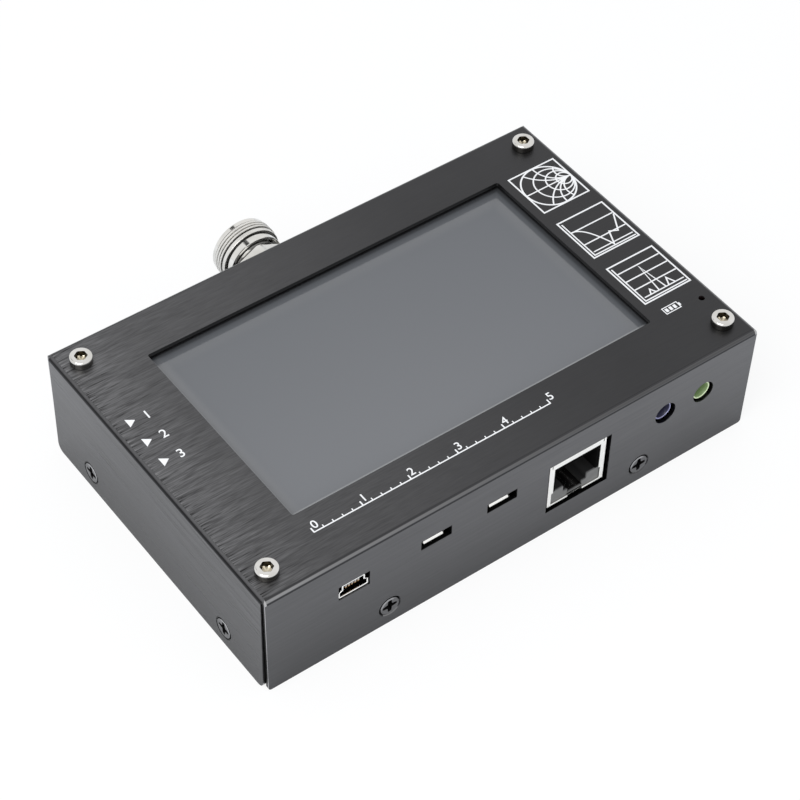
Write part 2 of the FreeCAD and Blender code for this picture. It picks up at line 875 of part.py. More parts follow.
def memory_card():
    """The memory card in its socket."""
    right = card_socket_inset - board_x + card_socket_len - card_socket_wall - cell_gap
    low = board_under - (card_socket_h + card_t) / 2
    return slab(right - card_len / 2, card_y, card_len, card_w, low, low + card_t)


def tact_bases():
    """The two tact switches' bodies on top of the main board."""
    bases = []
    x = tact_x - half_w
    top = board_top + tact_base_h
    for y in tact_ys.values():
        body = rounded_slab(x, y, tact_w, tact_w, board_top, top, window_corner_r)
        well = rod(Vector(x, y, top - tact_well_deep), Z_AXIS, tact_plunger_r + tact_plunger_gap,
                   tact_well_deep + PAST)
        bases.append(body.cut(well))
    return group(bases)


def tact_button(y):
    """A tact switch's plunger."""
    top = board_top + tact_base_h
    start = Vector(tact_x - half_w, y, top - tact_plunger_in)
    return rod(start, Z_AXIS, tact_plunger_r, tact_plunger_in + tact_plunger_out)


def mini_outline(inset):
    """The mini USB shell's outline at the origin, in X and Z, shrunk by an inset."""
    wide = mini_w / 2 - inset
    narrow = mini_top_w / 2 - inset
    step = -mini_h + mini_wide_h
    low = -mini_h + inset
    return [(-wide, 0, low), (wide, 0, low), (wide, 0, step), (narrow, 0, step + mini_step_h),
            (narrow, 0, -inset), (-narrow, 0, -inset), (-narrow, 0, step + mini_step_h), (-wide, 0, step)]


def soft_prism(outline, shift, radius):
    """An outline drawn out along Y with all its long edges rounded."""
    body = prism(outline, shift)
    return body.makeFillet(radius, straight_edges(body, Y_AXIS))


def mini_usb_shell():
    """The mini USB socket's metal shell."""
    outer = soft_prism(mini_outline(0), Y_AXIS * mini_len, usb_wall + mini_bend_r)
    inner = soft_prism(mini_outline(usb_wall), Y_AXIS * (mini_len + 2 * PAST), mini_bend_r)
    inner.translate(Vector(0, -PAST, 0))
    shell = outer.cut(inner)
    shell.translate(Vector(mini_x - half_w, mini_recess - half_d, board_under))
    return shell


def mini_tongue():
    """The mini USB socket's insulator: a plug at the back and the contact tongue."""
    end = mini_len - mini_plug_len
    plug = soft_prism(mini_outline(usb_wall), Y_AXIS * mini_plug_len, mini_bend_r)
    plug.translate(Vector(0, end, 0))
    tongue = slab(0, (mini_tongue_front + end) / 2, mini_tongue_w, end - mini_tongue_front,
                  -mini_tongue_drop - mini_tongue_t, -mini_tongue_drop)
    body = fused([plug, tongue])
    body.translate(Vector(mini_x - half_w, mini_recess - half_d, board_under))
    return body


def micro_outline(inset):
    """The micro USB shell's outline at the origin, in X and Z, wide at the top."""
    wide = micro_w / 2 - inset
    narrow = micro_low_w / 2 - inset
    low = -micro_h + inset
    return [(-wide, 0, -inset), (wide, 0, -inset), (wide, 0, -micro_wide_h), (narrow, 0, low),
            (-narrow, 0, low), (-wide, 0, -micro_wide_h)]


def micro_shell():
    """A micro USB shell, its front at the origin and its length along +Y, with its flared lips."""
    outer = soft_prism(micro_outline(0), Y_AXIS * micro_len, usb_wall + micro_bend_r)
    inner = soft_prism(micro_outline(usb_wall), Y_AXIS * (micro_len + 2 * PAST), micro_bend_r)
    inner.translate(Vector(0, -PAST, 0))
    tube = outer.cut(inner)
    half = micro_lip_w / 2
    low = -micro_h
    edge = -micro_lip_len
    drop = low - micro_lip_drop
    lip = prism([(-half, 0, low + usb_wall), (-half, usb_wall, low), (-half, 0, low - usb_wall / 2),
                 (-half, edge, drop), (-half, edge - lip_t, drop + usb_wall)], X_AXIS * micro_lip_w)
    parts = [tube, lip]
    for side in (-1, 1):
        corners = [(0, usb_wall), (-usb_wall, 0), (-usb_wall, -lip_t), (usb_wall - lip_t, edge),
                   (usb_wall, edge + 2 * lip_t)]
        outline = [(side * (micro_w / 2 + x), y, ear_low) for x, y in corners]
        parts.append(prism(outline, Z_AXIS * ear_h))
    return fused(parts)


def micro_tongue():
    """A micro USB socket's insulator, in the shell's place."""
    end = micro_len - micro_plug_len
    plug = soft_prism(micro_outline(usb_wall), Y_AXIS * micro_plug_len, micro_bend_r)
    plug.translate(Vector(0, end, 0))
    tongue = slab(0, (micro_tongue_front + end) / 2, micro_tongue_w, end - micro_tongue_front,
                  -micro_tongue_drop - micro_tongue_t, -micro_tongue_drop)
    return fused([plug, tongue])


def micro_place(number):
    """Where a micro USB socket's front lies."""
    return Vector(micro_xs[number] - half_w, micro_recess - half_d, board_under)


def micro_usb_shells():
    """The micro USB sockets' metal shells under the main board."""
    return group([placed(micro_shell(), micro_place(number)) for number in range(len(micro_xs))])


def usb_tongues():
    """The three USB sockets' insulators."""
    tongues = [placed(micro_tongue(), micro_place(number)) for number in range(len(micro_xs))]
    return group([mini_tongue()] + tongues)


def usb_contacts():
    """The contact strips under the tongues: five in each socket."""
    strips = []
    spots = [(Vector(mini_x - half_w, mini_recess - half_d, board_under), mini_strip_pitch,
              -mini_tongue_drop - mini_tongue_t, mini_strip_front, mini_len - mini_plug_len)]
    for number in range(len(micro_xs)):
        spots.append((micro_place(number), micro_strip_pitch, -micro_tongue_drop - micro_tongue_t,
                      micro_strip_front, micro_len - micro_plug_len))
    for corner, pitch, top, start, end in spots:
        for step in range(-2, 3):
            strip = slab(step * pitch, (start + end) / 2, usb_strip_w, end - start, top - usb_strip_t, top)
            strip.translate(corner)
            strips.append(strip)
    return strips


def network_origin():
    """The network socket's front, under its middle."""
    return Vector(network_x - half_w, network_recess - half_d, board_under - network_h)


def network_shield():
    """The network socket's metal shield with its mouth, spring tabs and open underside strip."""
    half = network_w / 2
    wall = network_wall
    outer = block(-half, half, 0, network_len, 0, network_h)
    inner = block(wall - half, half - wall, wall, network_len - wall, wall, network_h - wall)
    lower_half = network_lower_w / 2
    latch_half = network_latch_w / 2
    cutters = [inner,
               slab(0, 0, network_mouth_w, 2 * PAST, network_mouth_low, network_mouth_high),
               block(-lower_half, lower_half, -PAST, PAST, network_lower_low, network_mouth_low),
               block(-latch_half, latch_half, -PAST, PAST, -PAST, network_lower_low)]
    shield = outer.cut(cutters)
    parts = [shield]
    low = network_h / 2 - tab_h / 2
    for sx in (-1, 1):
        x = sx * half
        outline = [(x, wall, low), (x + sx * tab_out, wall + tab_rise_len, low),
                   (x + sx * tab_out, wall + tab_len - tab_rise_len, low), (x, wall + tab_len, low)]
        parts.append(prism(outline, Z_AXIS * tab_h))
    body = fused(parts)
    body.translate(network_origin())
    return body


def network_housing():
    """The network socket's plastic housing with the plug's cavity."""
    half = network_w / 2 - network_wall
    front = pipe_recess
    body = block(-half, half, front, network_len - network_wall, network_wall, network_h - network_wall)
    key_half = network_key_w / 2
    latch_half = network_latch_w / 2
    mouth_half = network_mouth_w / 2 - network_wall
    deep = network_cavity_len
    roof = network_mouth_high - network_wall
    cutters = [block(-mouth_half, mouth_half, -PAST, deep, network_mouth_low, roof),
               block(-key_half, key_half, -PAST, deep, network_key_low, network_mouth_low),
               block(-latch_half, latch_half, -PAST, deep, -PAST, network_key_low)]
    for sx in (-1, 1):
        cutters.append(light_pipe(sx, cell_gap))
    body = body.cut(cutters)
    body.translate(network_origin())
    return body


def light_pipe(side, gap):
    """One light pipe in the network socket's lower corner, or with a gap, its room."""
    key = network_key_w / 2
    outer = network_lower_w / 2 - cell_gap + gap
    latch = network_latch_w / 2
    low = network_lower_low + cell_gap - gap
    corners = [(key, network_mouth_low), (outer, network_mouth_low), (outer, low), (latch, low),
               (latch, network_key_low), (key, network_key_low)]
    pipe = prism([(side * x, 0, z) for x, z in corners], Y_AXIS * (pipe_len + gap))
    pipe.translate(Y_AXIS * pipe_recess)
    return pipe


def network_light_pipes():
    """The two light pipes."""
    pipes = [light_pipe(side, 0) for side in (-1, 1)]
    for pipe in pipes:
        pipe.translate(network_origin())
    return group(pipes)


def network_contacts():
    """The eight spring contacts above the plug's cavity."""
    wires = []
    top = network_mouth_high - network_wall - contact_r
    for step in range(contact_count):
        x = (step - (contact_count - 1) / 2) * contact_pitch
        start = Vector(x, network_cavity_len, top)
        slope = Vector(0, contact_front - network_cavity_len, -contact_drop)
        wire = rod(start, slope, contact_r, slope.Length)
        wire.translate(network_origin())
        wires.append(wire)
    return wires


def audio_jack(name):
    """An audio jack under the main board: body, barrel and bore."""
    x, recess = jacks()[name]
    z = board_under - jack_axis_drop
    front = jack_body_recess - half_d
    low = board_under - jack_body_h
    body = block(x - jack_body_w / 2, x + jack_body_w / 2, front, front + jack_body_len, low, board_under)
    barrel = rod(Vector(x, recess - half_d, z), Y_AXIS, jack_barrel_r, jack_body_recess - recess)
    wide = jack_bore_r + jack_rim_chamfer
    rim = Part.makeCone(wide, jack_bore_r, jack_rim_chamfer, Vector(x, recess - half_d, z), Y_AXIS)
    bore = rod(Vector(x, recess - half_d, z), Y_AXIS, jack_bore_r, jack_bore_len)
    slot_half = jack_bore_r / 2
    slot = block(x - slot_half, x + slot_half, front + PAST, front + jack_body_len - PAST, low - PAST, z)
    return fused([body, barrel]).cut([rim, bore, slot])


def jack_springs():
    """The spring contacts under the jacks' bores."""
    springs = []
    for x, recess in jacks().values():
        z = board_under - jack_axis_drop - jack_bore_r
        y0 = jack_body_recess - half_d + PAST
        half = jack_bore_r / 2
        y1 = y0 + jack_body_len - 2 * PAST
        springs.append(block(x - half, x + half, y0, y1, z - jack_spring_t, z))
    return springs


def socket_contacts():
    """All spring contacts of the front sockets."""
    return group(usb_contacts() + network_contacts() + jack_springs())


def stacking_sockets():
    """The socket strips under the main board."""
    strips = []
    low = board_under - socket_h
    for x, y, count in headers:
        middle = x + (count - 1) * header_pitch / 2
        body = slab(middle, y, count * header_pitch, header_pitch, low, board_under)
        holes = []
        for step in range(count):
            holes.append(slab(x + step * header_pitch, y, pin_hole_w, pin_hole_w, low - PAST,
                              low + pin_rise - strip_h + cell_gap))
        strips.append(body.cut(holes))
    return group(strips)


def stacking_pins():
    """The pin strips on the RF board."""
    strips = []
    for x, y, count in headers:
        middle = x + (count - 1) * header_pitch / 2
        parts = [slab(middle, y, count * header_pitch, header_pitch, rf_top, rf_top + strip_h)]
        for step in range(count):
            parts.append(slab(x + step * header_pitch, y, pin_w, pin_w, rf_low - pin_tail, rf_top + pin_rise))
        strips.append(fused(parts))
    return group(strips)


def rf_board():
    """The RF board, plugged under the main board."""
    body = rounded_slab(rf_left + rf_w / 2, rf_front + rf_d / 2, rf_w, rf_d, rf_low, rf_top, board_corner_r)
    holes = []
    for x, y, count in headers:
        for step in range(count):
            holes.append(slab(x + step * header_pitch, y, pin_w, pin_w, rf_low - PAST, rf_top + PAST))
    return body.cut(holes)


def rf_shield_can():
    """The tin can over the RF bridge."""
    outer = rounded_slab(can_x, can_y, can_w, can_d, rf_top, rf_top + can_h, window_corner_r)
    roof = rf_top + can_h - can_wall
    inner = slab(can_x, can_y, can_w - 2 * can_wall, can_d - 2 * can_wall, rf_top - PAST, roof)
    return outer.cut(inner)


def rf_chips():
    """Synthesizer, mixers and amplifiers on the RF board."""
    places = [(-26, 8, 4, 4, 0.9), (-16, 12, 5, 6, 1.7), (-16, 2, 5, 6, 1.7), (-26, -3, 5, 3.2, 1.3),
              (10, 8, 5, 6, 1.7), (20, 8, 5, 6, 1.7), (16, -2, 4, 4, 0.9), (-5.2, 8, 3, 3, 1.2)]
    for row_y in (-8, 18):
        for column in range(7):
            places.append((-31 + column * small_pitch, row_y) + small_part)
    return group(chips(places, rf_top, 1))


def antenna_socket_body():
    """The antenna socket's metal body: shank, hexagon, ring, thread and mouth."""
    hexagon = hex_bar(hex_af, hex_len)
    corner = hex_corner_r
    tip = hex_af / math.sqrt(3) - corner
    hexagon = hexagon.common(turned([(0, 0), (corner + tip, 0), (corner + tip, hex_len - 2 * tip),
                                     (corner, hex_len), (0, hex_len)]))
    profile = [(0, -shank_in), (shank_r, -shank_in), (shank_r, hex_len / 2), (neck_r, hex_len / 2),
               (neck_r, ring_start), (ring_small_r, ring_start), (ring_large_r, ring_end),
               (relief_r, ring_end), (relief_r, thread_start)]
    for turn in range(thread_turns):
        start = thread_start + turn * thread_pitch
        profile.append((thread_root_r, start))
        profile.append((thread_crest_r, start + thread_pitch * thread_flank))
        profile.append((thread_crest_r, start + thread_pitch * (1 - thread_flank)))
    thread_end = thread_start + thread_turns * thread_pitch
    profile += [(thread_root_r, thread_end), (mouth_land_r, thread_end),
                (mouth_land_r, mouth_end - mouth_bevel), (mouth_land_r - mouth_bevel, mouth_end),
                (0, mouth_end)]
    body = fused([turned(profile), hexagon])
    wide = rod(Vector(0, 0, mouth_end - mouth_bore_len), Z_AXIS, mouth_bore_r, mouth_bore_len + PAST)
    narrow = rod(Vector(0, 0, -shank_in - PAST), Z_AXIS, insulator_r, mouth_end)
    return along_back(body.cut([wide, narrow]), Vector(antenna_x, half_d, antenna_z))


def antenna_insulator():
    """The insulator inside the antenna socket."""
    top = mouth_end - mouth_bore_len
    body = rod(Vector(0, 0, -shank_in), Z_AXIS, insulator_r - thread_fit, top + shank_in)
    body = body.cut([rod(Vector(0, 0, contact_back), Z_AXIS, contact_sleeve_r + thread_fit, mouth_end),
                     rod(Vector(0, 0, -shank_in - PAST), Z_AXIS, contact_pin_r + thread_fit, mouth_end)])
    return along_back(body, Vector(antenna_x, half_d, antenna_z))


def antenna_contact():
    """The centre contact: slotted sleeve in front, solder pin behind."""
    sleeve = rod(Vector(0, 0, contact_back), Z_AXIS, contact_sleeve_r, contact_tip - contact_back)
    pin = rod(Vector(0, 0, contact_pin_end), Z_AXIS, contact_pin_r, contact_back - contact_pin_end)
    hole_start = contact_tip - contact_hole_len
    cutters = [rod(Vector(0, 0, hole_start), Z_AXIS, contact_hole_r, mouth_end)]
    for w, d in ((contact_slot_w, 4 * contact_sleeve_r), (4 * contact_sleeve_r, contact_slot_w)):
        cutters.append(slab(0, 0, w, d, hole_start, mouth_end))
    return along_back(fused([sleeve, pin]).cut(cutters), Vector(antenna_x, half_d, antenna_z))


def antenna_washer():
    """The antenna socket's washer inside the back wall."""
    place = Vector(antenna_x, inner_y - antenna_washer_t, antenna_z)
    body = rod(place, Y_AXIS, antenna_washer_r, antenna_washer_t)
    bore_r = shank_r + antenna_hole_gap
    return body.cut(rod(place - Y_AXIS * PAST, Y_AXIS, bore_r, antenna_washer_t + 2 * PAST))


def antenna_nut():
    """The antenna socket's nut."""
    bar = hex_bar(antenna_nut_af, antenna_nut_t)
    bar = bar.cut(rod(Vector(0, 0, -PAST), Z_AXIS, shank_r + thread_fit, antenna_nut_t + 2 * PAST))
    return along_back(bar, Vector(antenna_x, inner_y - antenna_washer_t - antenna_nut_t, antenna_z))


def antenna_pigtail():
    """The coaxial lead from the antenna socket to the RF board."""
    x = antenna_x
    start = half_d + contact_pin_end
    jacket = start - pigtail_jacket_gap
    lying = rf_top + pigtail_d / 2
    end = back_row_y - pigtail_jacket_gap
    points = [(x, jacket, antenna_z), (x, jacket - pigtail_straight, antenna_z), (x, rf_back + 1.4, lying),
              (x, end, lying)]
    cable = lead("antenna_pigtail", points, pigtail_d)
    cores = [rod(Vector(x, jacket, antenna_z), Y_AXIS, pigtail_core_r, start - jacket),
             rod(Vector(x, end - pigtail_core_len, lying), Y_AXIS, pigtail_core_r, pigtail_core_len)]
    return fused([cable] + cores)


def switch_origin():
    """The switch's axis at the back wall's outer face."""
    return Vector(switch_x, half_d, switch_z)


def switch_body():
    """The power switch's plastic body."""
    back = inner_y - switch_washer_t
    front = back - switch_body_len
    return slab(switch_x, (front + back) / 2, switch_body_w, switch_body_len, switch_z - switch_body_h / 2,
                switch_z + switch_body_h / 2)


def switch_terminals():
    """The power switch's three terminals."""
    back = inner_y - switch_washer_t - switch_body_len
    blades = []
    for step in (-1, 0, 1):
        z = switch_z + step * terminal_pitch
        blades.append(slab(switch_x, back - terminal_len / 2, terminal_t, terminal_len, z - terminal_w / 2,
                           z + terminal_w / 2))
    return group(blades)


def switch_bushing():
    """The threaded bushing that the lever swings in."""
    start = -sheet - switch_washer_t
    body = rod(Vector(0, 0, start), Z_AXIS, bushing_r, bushing_out - start)
    bore = rod(Vector(0, 0, start - PAST), Z_AXIS, bushing_bore_r, bushing_out - start + 2 * PAST)
    return along_back(body.cut(bore), switch_origin())


def switch_washers():
    """The washers inside and outside the back wall."""
    rings = []
    for start in (-sheet - switch_washer_t, 0):
        body = rod(Vector(0, 0, start), Z_AXIS, switch_washer_r, switch_washer_t)
        bore = rod(Vector(0, 0, start - PAST), Z_AXIS, bushing_r + thread_fit, switch_washer_t + 2 * PAST)
        rings.append(along_back(body.cut(bore), switch_origin()))
    return rings


def switch_nut():
    """The power switch's nut outside the wall, with the washers on both sides."""
    bar = hex_bar(switch_nut_af, switch_nut_t)
    bar = bar.cut(rod(Vector(0, 0, -PAST), Z_AXIS, bushing_r + thread_fit, switch_nut_t + 2 * PAST))
    nut = along_back(bar, switch_origin() + Y_AXIS * switch_washer_t)
    return group([nut] + switch_washers())


def switch_lever():
    """The power switch's lever: ball, tapered arm, rounded tip and tail."""
    arm_len = lever_len - lever_tip_r
    arm = Part.makeCone(lever_root_r, lever_tip_r, arm_len)
    tip = Part.makeSphere(lever_tip_r, Vector(0, 0, arm_len))
    ball = Part.makeSphere(ball_r)
    tail = rod(Vector(0, 0, -lever_tail_len), Z_AXIS, lever_tail_r, lever_tail_len)
    body = fused([ball, arm, tip, tail])
    body.rotate(Vector(), X_AXIS, lever_tilt)
    return along_back(body, switch_origin() + Y_AXIS * pivot_out)


def battery():
    """The flat cell."""
    body = block(battery_left, battery_right, battery_front, battery_front + battery_d, battery_low,
                 battery_low + battery_h)
    return body.makeFillet(battery_edge_r, straight_edges(body, X_AXIS))


def battery_strips():
    """The two foam strips that the cell is stuck down with."""
    strips = []
    for edge in (battery_strip_inset, battery_d - battery_strip_inset - battery_strip_w):
        y = battery_front + edge
        strips.append(block(battery_left + battery_strip_inset, battery_right - battery_strip_inset, y,
                            y + battery_strip_w, sheet, battery_low))
    return group(strips)


def battery_socket_block(grow):
    """The battery socket's room on the charging board, grown by a gap on each side."""
    x0 = charge_left + battery_socket_in
    y = charge_y + battery_socket_y
    half = battery_socket_w / 2 - battery_socket_wall + grow
    low = charge_top + battery_socket_wall - grow
    high = charge_top + battery_socket_h - battery_socket_wall + grow
    return x0, y, half, low, high


def battery_socket():
    """The battery's socket on the charging board, open to the left."""
    x0, y, half, low, high = battery_socket_block(0)
    body = block(x0, x0 + battery_socket_len, y - battery_socket_w / 2, y + battery_socket_w / 2, charge_top,
                 charge_top + battery_socket_h)
    return body.cut(block(x0 - PAST, x0 + battery_socket_len - PAST, y - half, y + half, low, high))


def battery_plug():
    """The battery leads' plug, part way into the socket."""
    x0, y, half, low, high = battery_socket_block(-plug_gap)
    return block(x0 + plug_in - plug_len, x0 + plug_in, y - half, y + half, low, high)


def battery_leads():
    """The battery's two leads to its plug."""
    x0, y, half, low, high = battery_socket_block(0)
    plug_x = x0 + plug_in - plug_len
    z = (low + high) / 2
    wires = []
    for number, side in enumerate((-1.0, 1.0)):
        start_y = battery_front + battery_lead_y + side
        points = [(battery_right + lead_end_gap, start_y, 6.6),
                  (battery_right + 6.2, start_y - 1.2, 5.8 + 0.5 * side),
                  (battery_right + 17.0, start_y - 6.4, 5.0),
                  (plug_x - 13.2, y + 3.4 + side, 6.4),
                  (plug_x - 7.6, y + 0.8 + side, 9.8),
                  (plug_x - 3.4, y + side, z - 0.6),
                  (plug_x - lead_end_gap, y + side, z)]
        wires.append(lead("battery_lead_%d" % (number + 1), points, lead_d))
    return group(wires)


def switch_leads():
    """The two leads from the power switch to the charging board."""
    wires = []
    x = switch_x + terminal_t / 2 + lead_end_gap
    y = inner_y - switch_washer_t - switch_body_len - terminal_len / 2
    pad = charge_top + fine_lead_d / 2
    back = charge_y + charge_d
    far = charge_left + 7.8
    near = [(x, y, switch_z), (x + 8.2, y + 0.4, switch_z - 0.6), (x + 24.0, y + 0.8, switch_z - 2.4),
            (far - 9.0, y - 1.6, 11.5), (far - 2.0, y - 11.0, 10.4), (far, back + 13.0, 10.9),
            (far, back + 4.2, pad), (far, back - 1.5, pad)]
    far += 2.2
    low = [(x, y, switch_z - terminal_pitch), (x + 8.2, y + 1.6, 10.6), (x + 24.0, y + 2.6, 11.0),
           (far - 9.2, y + 0.2, 10.2), (far - 2.0, y - 10.0, 8.6), (far, back + 13.6, 9.0),
           (far, back + 4.2, pad), (far, back - 1.5, pad)]
    wires.append(lead("switch_lead_1", near, fine_lead_d))
    wires.append(lead("switch_lead_2", low, fine_lead_d))
    return wires


def supply_leads():
    """The two leads from the charging board to the main board."""
    wires = []
    pad = charge_top + fine_lead_d / 2
    back = charge_y + charge_d
    rise = board_under - pad
    for number, x in enumerate((charge_left + 12.7, charge_left + 14.9)):
        points = [(x, back - 1.5, pad), (x, back + 2.4, pad), (x, back + 6.4, pad + 0.35 * rise),
                  (x, back + 7.6, pad + 0.7 * rise), (x, back + 7.8, board_under - lead_end_gap)]
        wires.append(lead("supply_lead_%d" % (number + 1), points, fine_lead_d))
    return wires


def power_leads():
    """The leads from the switch to the charging board and from there to the main board."""
    return group(switch_leads() + supply_leads())


def charge_board():
    """The charging board."""
    body = block(charge_left, charge_right, charge_y, charge_y + charge_d, charge_low, charge_top)
    cutters = []
    for x, y in charge_post_places():
        cutters.append(rod(Vector(x, y, charge_low - PAST), Z_AXIS, charge_screw_r + screw_gap,
                           charge_t + 2 * PAST))
    for side in (-1, 1):
        cutters.append(slab(lamp_x, lamp_y + side * lamp_lead_pitch / 2, lamp_lead_w, lamp_lead_w,
                            charge_low - PAST, charge_top + PAST))
    return body.cut(cutters)


def charge_board_parts():
    """Charging chip, coil and capacitors."""
    places = [(-9.4, 9.0, 5.0, 4.0, 1.6), (-12.4, 4.6, 4.0, 4.0, 2.0), (-5.4, 21.4, 2.2, 2.6, 1.0)]
    for column in range(3):
        places.append((-11.2 + column * small_pitch, 13.2) + small_part)
    moved = [(charge_right + x, charge_y + y, w, d, h) for x, y, w, d, h in places]
    return group(chips(moved, charge_top, 1))


def charge_port():
    """The charging port: a micro USB shell that lies on the charging board, facing right."""
    body = fused([micro_shell(), micro_tongue()])
    body.rotate(Vector(), Y_AXIS, 180)
    body.rotate(Vector(), Z_AXIS, 90)
    front = inner_x - charge_port_recess - micro_lip_len - lip_t
    body.translate(Vector(front, charge_y + charge_port_y, charge_top))
    return body


def charge_posts():
    """The posts pressed into the tray under the charging board."""
    posts = []
    for x, y in charge_post_places():
        post = rod(Vector(x, y, sheet), Z_AXIS, charge_post_r, charge_post_len)
        stub = rod(Vector(x, y, charge_post_stub_recess), Z_AXIS, charge_post_stub_r, sheet)
        bore_len = charge_screw_len + PAST
        bore = rod(Vector(x, y, charge_low - bore_len), Z_AXIS, charge_screw_r + thread_fit, bore_len + PAST)
        posts.append(fused([post, stub]).cut(bore))
    return group(posts)


def charge_screws():
    """The charging board's screws."""
    screws = []
    for x, y in charge_post_places():
        head = rod(Vector(x, y, charge_top), Z_AXIS, charge_head_r, charge_head_h)
        shank = rod(Vector(x, y, charge_top - charge_screw_len), Z_AXIS, charge_screw_r, charge_screw_len)
        cross = [slab(x, y, w, d, charge_top + charge_head_h / 2, charge_top + charge_head_h + PAST)
                 for w, d in ((charge_cross_len, charge_cross_w), (charge_cross_w, charge_cross_len))]
        screws.append(fused([head, shank]).cut(cross))
    return group(screws)


def charge_lamp():
    """The charging lamp: flange, body and dome."""
    place = Vector(lamp_x, lamp_y, lamp_base)
    flange = rod(place, Z_AXIS, lamp_flange_r, lamp_flange_h)
    body = rod(place, Z_AXIS, lamp_r, lamp_flange_h + lamp_body_h)
    dome = Part.makeSphere(lamp_r, place + Z_AXIS * (lamp_flange_h + lamp_body_h))
    return fused([flange, body, dome])


def lamp_leads():
    """The charging lamp's two stiff leads down to the charging board."""
    wires = []
    for side in (-1, 1):
        y = lamp_y + side * lamp_lead_pitch / 2
        wires.append(slab(lamp_x, y, lamp_lead_w, lamp_lead_w, charge_low - pin_tail, lamp_base))
    return group(wires)


NODES = {
    "top_cover": top_cover,
    "bottom_tray": bottom_tray,
    "cover_screws": cover_screws,
    "press_nuts": press_nuts,
    "cap_screws": cap_screws,
    "corner_spacers": corner_spacers,
    "corner_nuts": corner_nuts,
    "window_gasket": window_gasket,
    "touch_panel": touch_panel,
    "lcd_cell": lcd_cell,
    "light_guide": light_guide,
    "lcd_frame": lcd_frame,
    "display_tape": display_tape,
    "display_ribbon": display_ribbon,
    "ribbon_connector": ribbon_connector,
    "main_board": main_board,
    "main_board_parts": main_board_parts,
    "card_socket": card_socket,
    "memory_card": memory_card,
    "tact_bases": tact_bases,
    "reset_button": lambda: tact_button(tact_ys["reset"]),
    "user_button": lambda: tact_button(tact_ys["user"]),
    "mini_usb_shell": mini_usb_shell,
    "micro_usb_shells": micro_usb_shells,
    "usb_tongues": usb_tongues,
    "network_shield": network_shield,
    "network_housing": network_housing,
    "network_light_pipes": network_light_pipes,
    "socket_contacts": socket_contacts,
    "line_in_jack": lambda: audio_jack("line_in"),
    "line_out_jack": lambda: audio_jack("line_out"),
    "stacking_sockets": stacking_sockets,
    "stacking_pins": stacking_pins,
    "rf_board": rf_board,
    "rf_shield_can": rf_shield_can,
    "rf_chips": rf_chips,
    "antenna_socket_body": antenna_socket_body,
    "antenna_insulator": antenna_insulator,
    "antenna_contact": antenna_contact,
    "antenna_washer": antenna_washer,
    "antenna_nut": antenna_nut,
    "antenna_pigtail": antenna_pigtail,
    "switch_body": switch_body,
    "switch_terminals": switch_terminals,
    "switch_bushing": switch_bushing,
    "switch_nut": switch_nut,
    "switch_lever": switch_lever,
    "power_leads": power_leads,
    "battery": battery,
    "battery_strips": battery_strips,
    "battery_leads": battery_leads,
    "battery_plug": battery_plug,
    "battery_socket": battery_socket,
    "charge_board": charge_board,
    "charge_board_parts": charge_board_parts,
    "charge_port": charge_port,
    "charge_posts": charge_posts,
    "charge_screws": charge_screws,
    "charge_lamp": charge_lamp,
    "lamp_leads": lamp_leads,
}


def main():
    os.makedirs("parts", exist_ok=True)
    for name, build in NODES.items():
        shape = build()
        if not shape.isValid():
            raise ValueError(name + " is not a valid shape")
        shape.exportStep("parts/" + name + ".step")
        print(name, len(shape.Solids), "solids", round(shape.Volume, 1), "mm3")


main()
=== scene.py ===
import json
import math

import bmesh
import bpy
from mathutils import Euler, Matrix, Vector


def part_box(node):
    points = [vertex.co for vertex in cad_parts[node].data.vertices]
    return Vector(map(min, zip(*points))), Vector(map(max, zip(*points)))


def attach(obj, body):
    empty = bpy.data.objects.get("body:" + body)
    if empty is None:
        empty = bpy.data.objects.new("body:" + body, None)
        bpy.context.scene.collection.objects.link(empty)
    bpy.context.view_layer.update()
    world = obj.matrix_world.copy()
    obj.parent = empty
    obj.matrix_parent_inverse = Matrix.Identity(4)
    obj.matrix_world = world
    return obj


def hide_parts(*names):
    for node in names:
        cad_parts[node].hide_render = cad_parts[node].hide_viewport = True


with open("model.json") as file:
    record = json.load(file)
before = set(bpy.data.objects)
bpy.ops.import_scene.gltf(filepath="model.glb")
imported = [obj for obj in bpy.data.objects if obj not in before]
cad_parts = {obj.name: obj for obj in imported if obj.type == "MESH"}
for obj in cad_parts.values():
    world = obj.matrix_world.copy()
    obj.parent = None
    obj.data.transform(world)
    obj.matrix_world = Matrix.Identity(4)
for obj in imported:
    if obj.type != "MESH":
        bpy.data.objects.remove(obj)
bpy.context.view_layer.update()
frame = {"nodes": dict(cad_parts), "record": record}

# Antenna analyzer in a bent sheet-metal box.
# Pieces are drawn in millimetres in the case's own frame: origin under the middle of the case,
# +X right, +Y back, +Z up. They are scaled to metres when their mesh is made.

MM = 0.001
UP = Vector((0, 0, 1))
BACK = Vector((0, 1, 0))


def box_mm(node):
    """A node's lowest and highest corner in millimetres."""
    low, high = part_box(node)
    return low / MM, high / MM


# Case
cover_low, cover_high = box_mm("top_cover")
half_w = cover_high.x
half_d = cover_high.y
plate_z = cover_high.z
sheet = 1.0
wall_zone_low = 2.4
wall_zone_high = 28.95

# Window in the top face, with the foam gasket set back from its edge
window_y = 1.4
window_half_w = 49.0
window_half_d = 28.2
gasket_back = 1.2
window_zone_x = 58.0
window_zone_y = 34.0
window_zone_low = 15.0

# Cap screws in the top face
cap_x = 61.9
cap_y = 36.25
cap_head_r = 2.64
cap_head_h = 2.0
cap_rim_r = 0.5
cap_land_r = 1.55
cap_socket_af = 2.5
cap_socket_lead = 0.2
cap_socket_deep = 1.6
cap_shank_r = 1.5
cap_shank_len = 12.0
screw_pitch = 0.5
screw_thread_deep = 0.22

